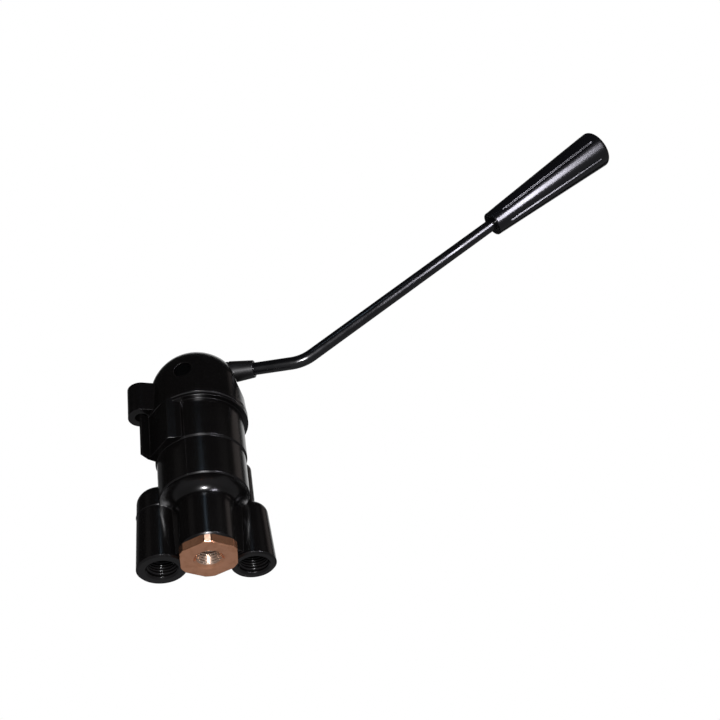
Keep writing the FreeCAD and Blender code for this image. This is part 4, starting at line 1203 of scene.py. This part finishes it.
@dataclass(frozen=True)
class Studio:
    """Plain pale floor, white surround and soft lamps.

    Attributes:
        floor_level: height of the floor, which lies below the camera, in metres.
        floor_half: half the floor's side, in metres.
        floor_shades: the floor's two colours, as the camera sees them.
        floor_lit: the floor's colour for the light that it throws back.
        ambient: strength of the surround's even light.
        room: strength of the room in front, as reflections see it.
        backdrop_edge: cosines from the line of sight where the white backdrop starts and is whole.
        lamps: the lamps.
    """

    floor_level: float = -0.62
    floor_half: float = 6.0
    floor_shades: tuple[Colour, Colour] = ((0.86, 0.86, 0.86), (0.9, 0.9, 0.9))
    floor_lit: Colour = (0.30, 0.30, 0.31)
    ambient: float = 0.75
    room: float = 0.012
    backdrop_edge: Pair = (0.88, 0.94)
    lamps: tuple[Lamp, ...] = (
        Lamp(
            "grip_lamp", (0.427, -0.564, -0.037), 0.07, 0.28, 3.5, (0.90, 0.88, 1.0),
            aim=(0.15, -0.045, 0.18), roll=45.6,
        ),
        Lamp("camera_lamp", (0.02, -0.52, -0.24), 0.07, 0.07, 8.0, (0.98, 0.97, 1.0)),
        Lamp("corner_lamp", (0.0, -0.58, 0.388), 0.05, 0.08, 0.060, (0.56, 0.77, 1.0)),
        Lamp("left_panel", (-0.43, -0.26, 0.34), 0.20, 0.20, 0.012, (1.0, 0.95, 0.93)),
        Lamp("right_panel", (0.43, -0.26, 0.34), 0.20, 0.20, 0.011, (1.0, 0.95, 0.93)),
        Lamp("left_window", (-0.62, 0.62, 0.62), 0.30, 0.5, 0.05, (0.95, 0.96, 1.0)),
        Lamp("right_window", (0.88, 0.22, 0.62), 0.40, 0.6, 0.27, (1.0, 0.87, 0.83)),
    )

    def surround(self, ahead: Vector) -> None:
        """Makes the world, where the camera sees white all round.

        Reflections see the white backdrop where it stands behind the object, and a dim room elsewhere.

        Args:
            ahead: the camera's line of sight.
        """
        world = bpy.data.worlds.new("surround")
        bpy.context.scene.world = world
        board = Board("surround", world)
        direction = board.node("ShaderNodeTexCoord", output="Generated")
        behind = board.dot(direction, ahead).band(*self.backdrop_edge)
        room = behind * (1 - self.room) + self.room
        camera = board.node("ShaderNodeLightPath", output="Is Camera Ray")
        rays = camera.socket.node.outputs
        mirrored = Signal(board, rays["Is Glossy Ray"]) + Signal(board, rays["Is Transmission Ray"])
        plain = (1 - camera) * (1 - mirrored) * self.ambient
        strength = camera + mirrored * room + plain
        light = board.node("ShaderNodeBackground", sockets={"Color": (1, 1, 1, 1), "Strength": strength})
        board.node("ShaderNodeOutputWorld", sockets={"Surface": light})

    def floor(self) -> None:
        """Makes the floor."""
        half, level = self.floor_half, self.floor_level
        corners = [(-half, -half, level), (half, -half, level), (half, half, level), (-half, half, level)]
        mesh = bpy.data.meshes.new("floor")
        mesh.from_pydata(corners, [], [(0, 1, 2, 3)])
        board = Board("pale_floor")
        grain = board.noise(board.place(), 60.0, 3.0, 0.5)
        pale = board.mix(grain, *self.floor_shades)
        seen = board.node("ShaderNodeLightPath", output="Is Camera Ray")
        board.surface(board.mix(seen, self.floor_lit, pale), 0.9, Specular_IOR_Level=0.1)
        mesh.materials.append(board.material)
        made = linked("floor", mesh)

    def build(self, turn: float, ahead: Vector) -> None:
        """Makes the surround, the floor and the lamps.

        Args:
            turn: degrees from the object's frame to the camera's directions.
            ahead: the camera's line of sight.
        """
        self.surround(ahead)
        self.floor()
        for lamp in self.lamps:
            lamp.build(turn)
        bpy.context.scene.view_settings.view_transform = "Standard"


def main() -> None:
    """Builds the scene's sub-assemblies in order."""
    logging.basicConfig(level=logging.INFO, format="%(name)s: %(message)s")
    camera = PhotoCamera()
    ahead = camera.build().matrix_world.to_3x3() @ Vector((0, 0, -1))
    Studio().build(camera.azimuth, ahead)
    dress_packed_nodes()
    assemblies = (
        CovedBody(),
        BrassAdaptor(),
        PortThread("delivery_port_thread", DELIVERY_AXIS),
        PortThread("exhaust_port_thread", EXHAUST_AXIS),
        MouldMarks(),
        HandGrip(),
    )
    for assembly in assemblies:
        assembly.build()
        log.info("built %s", type(assembly).__name__)


if __name__ == "__main__":
    main()
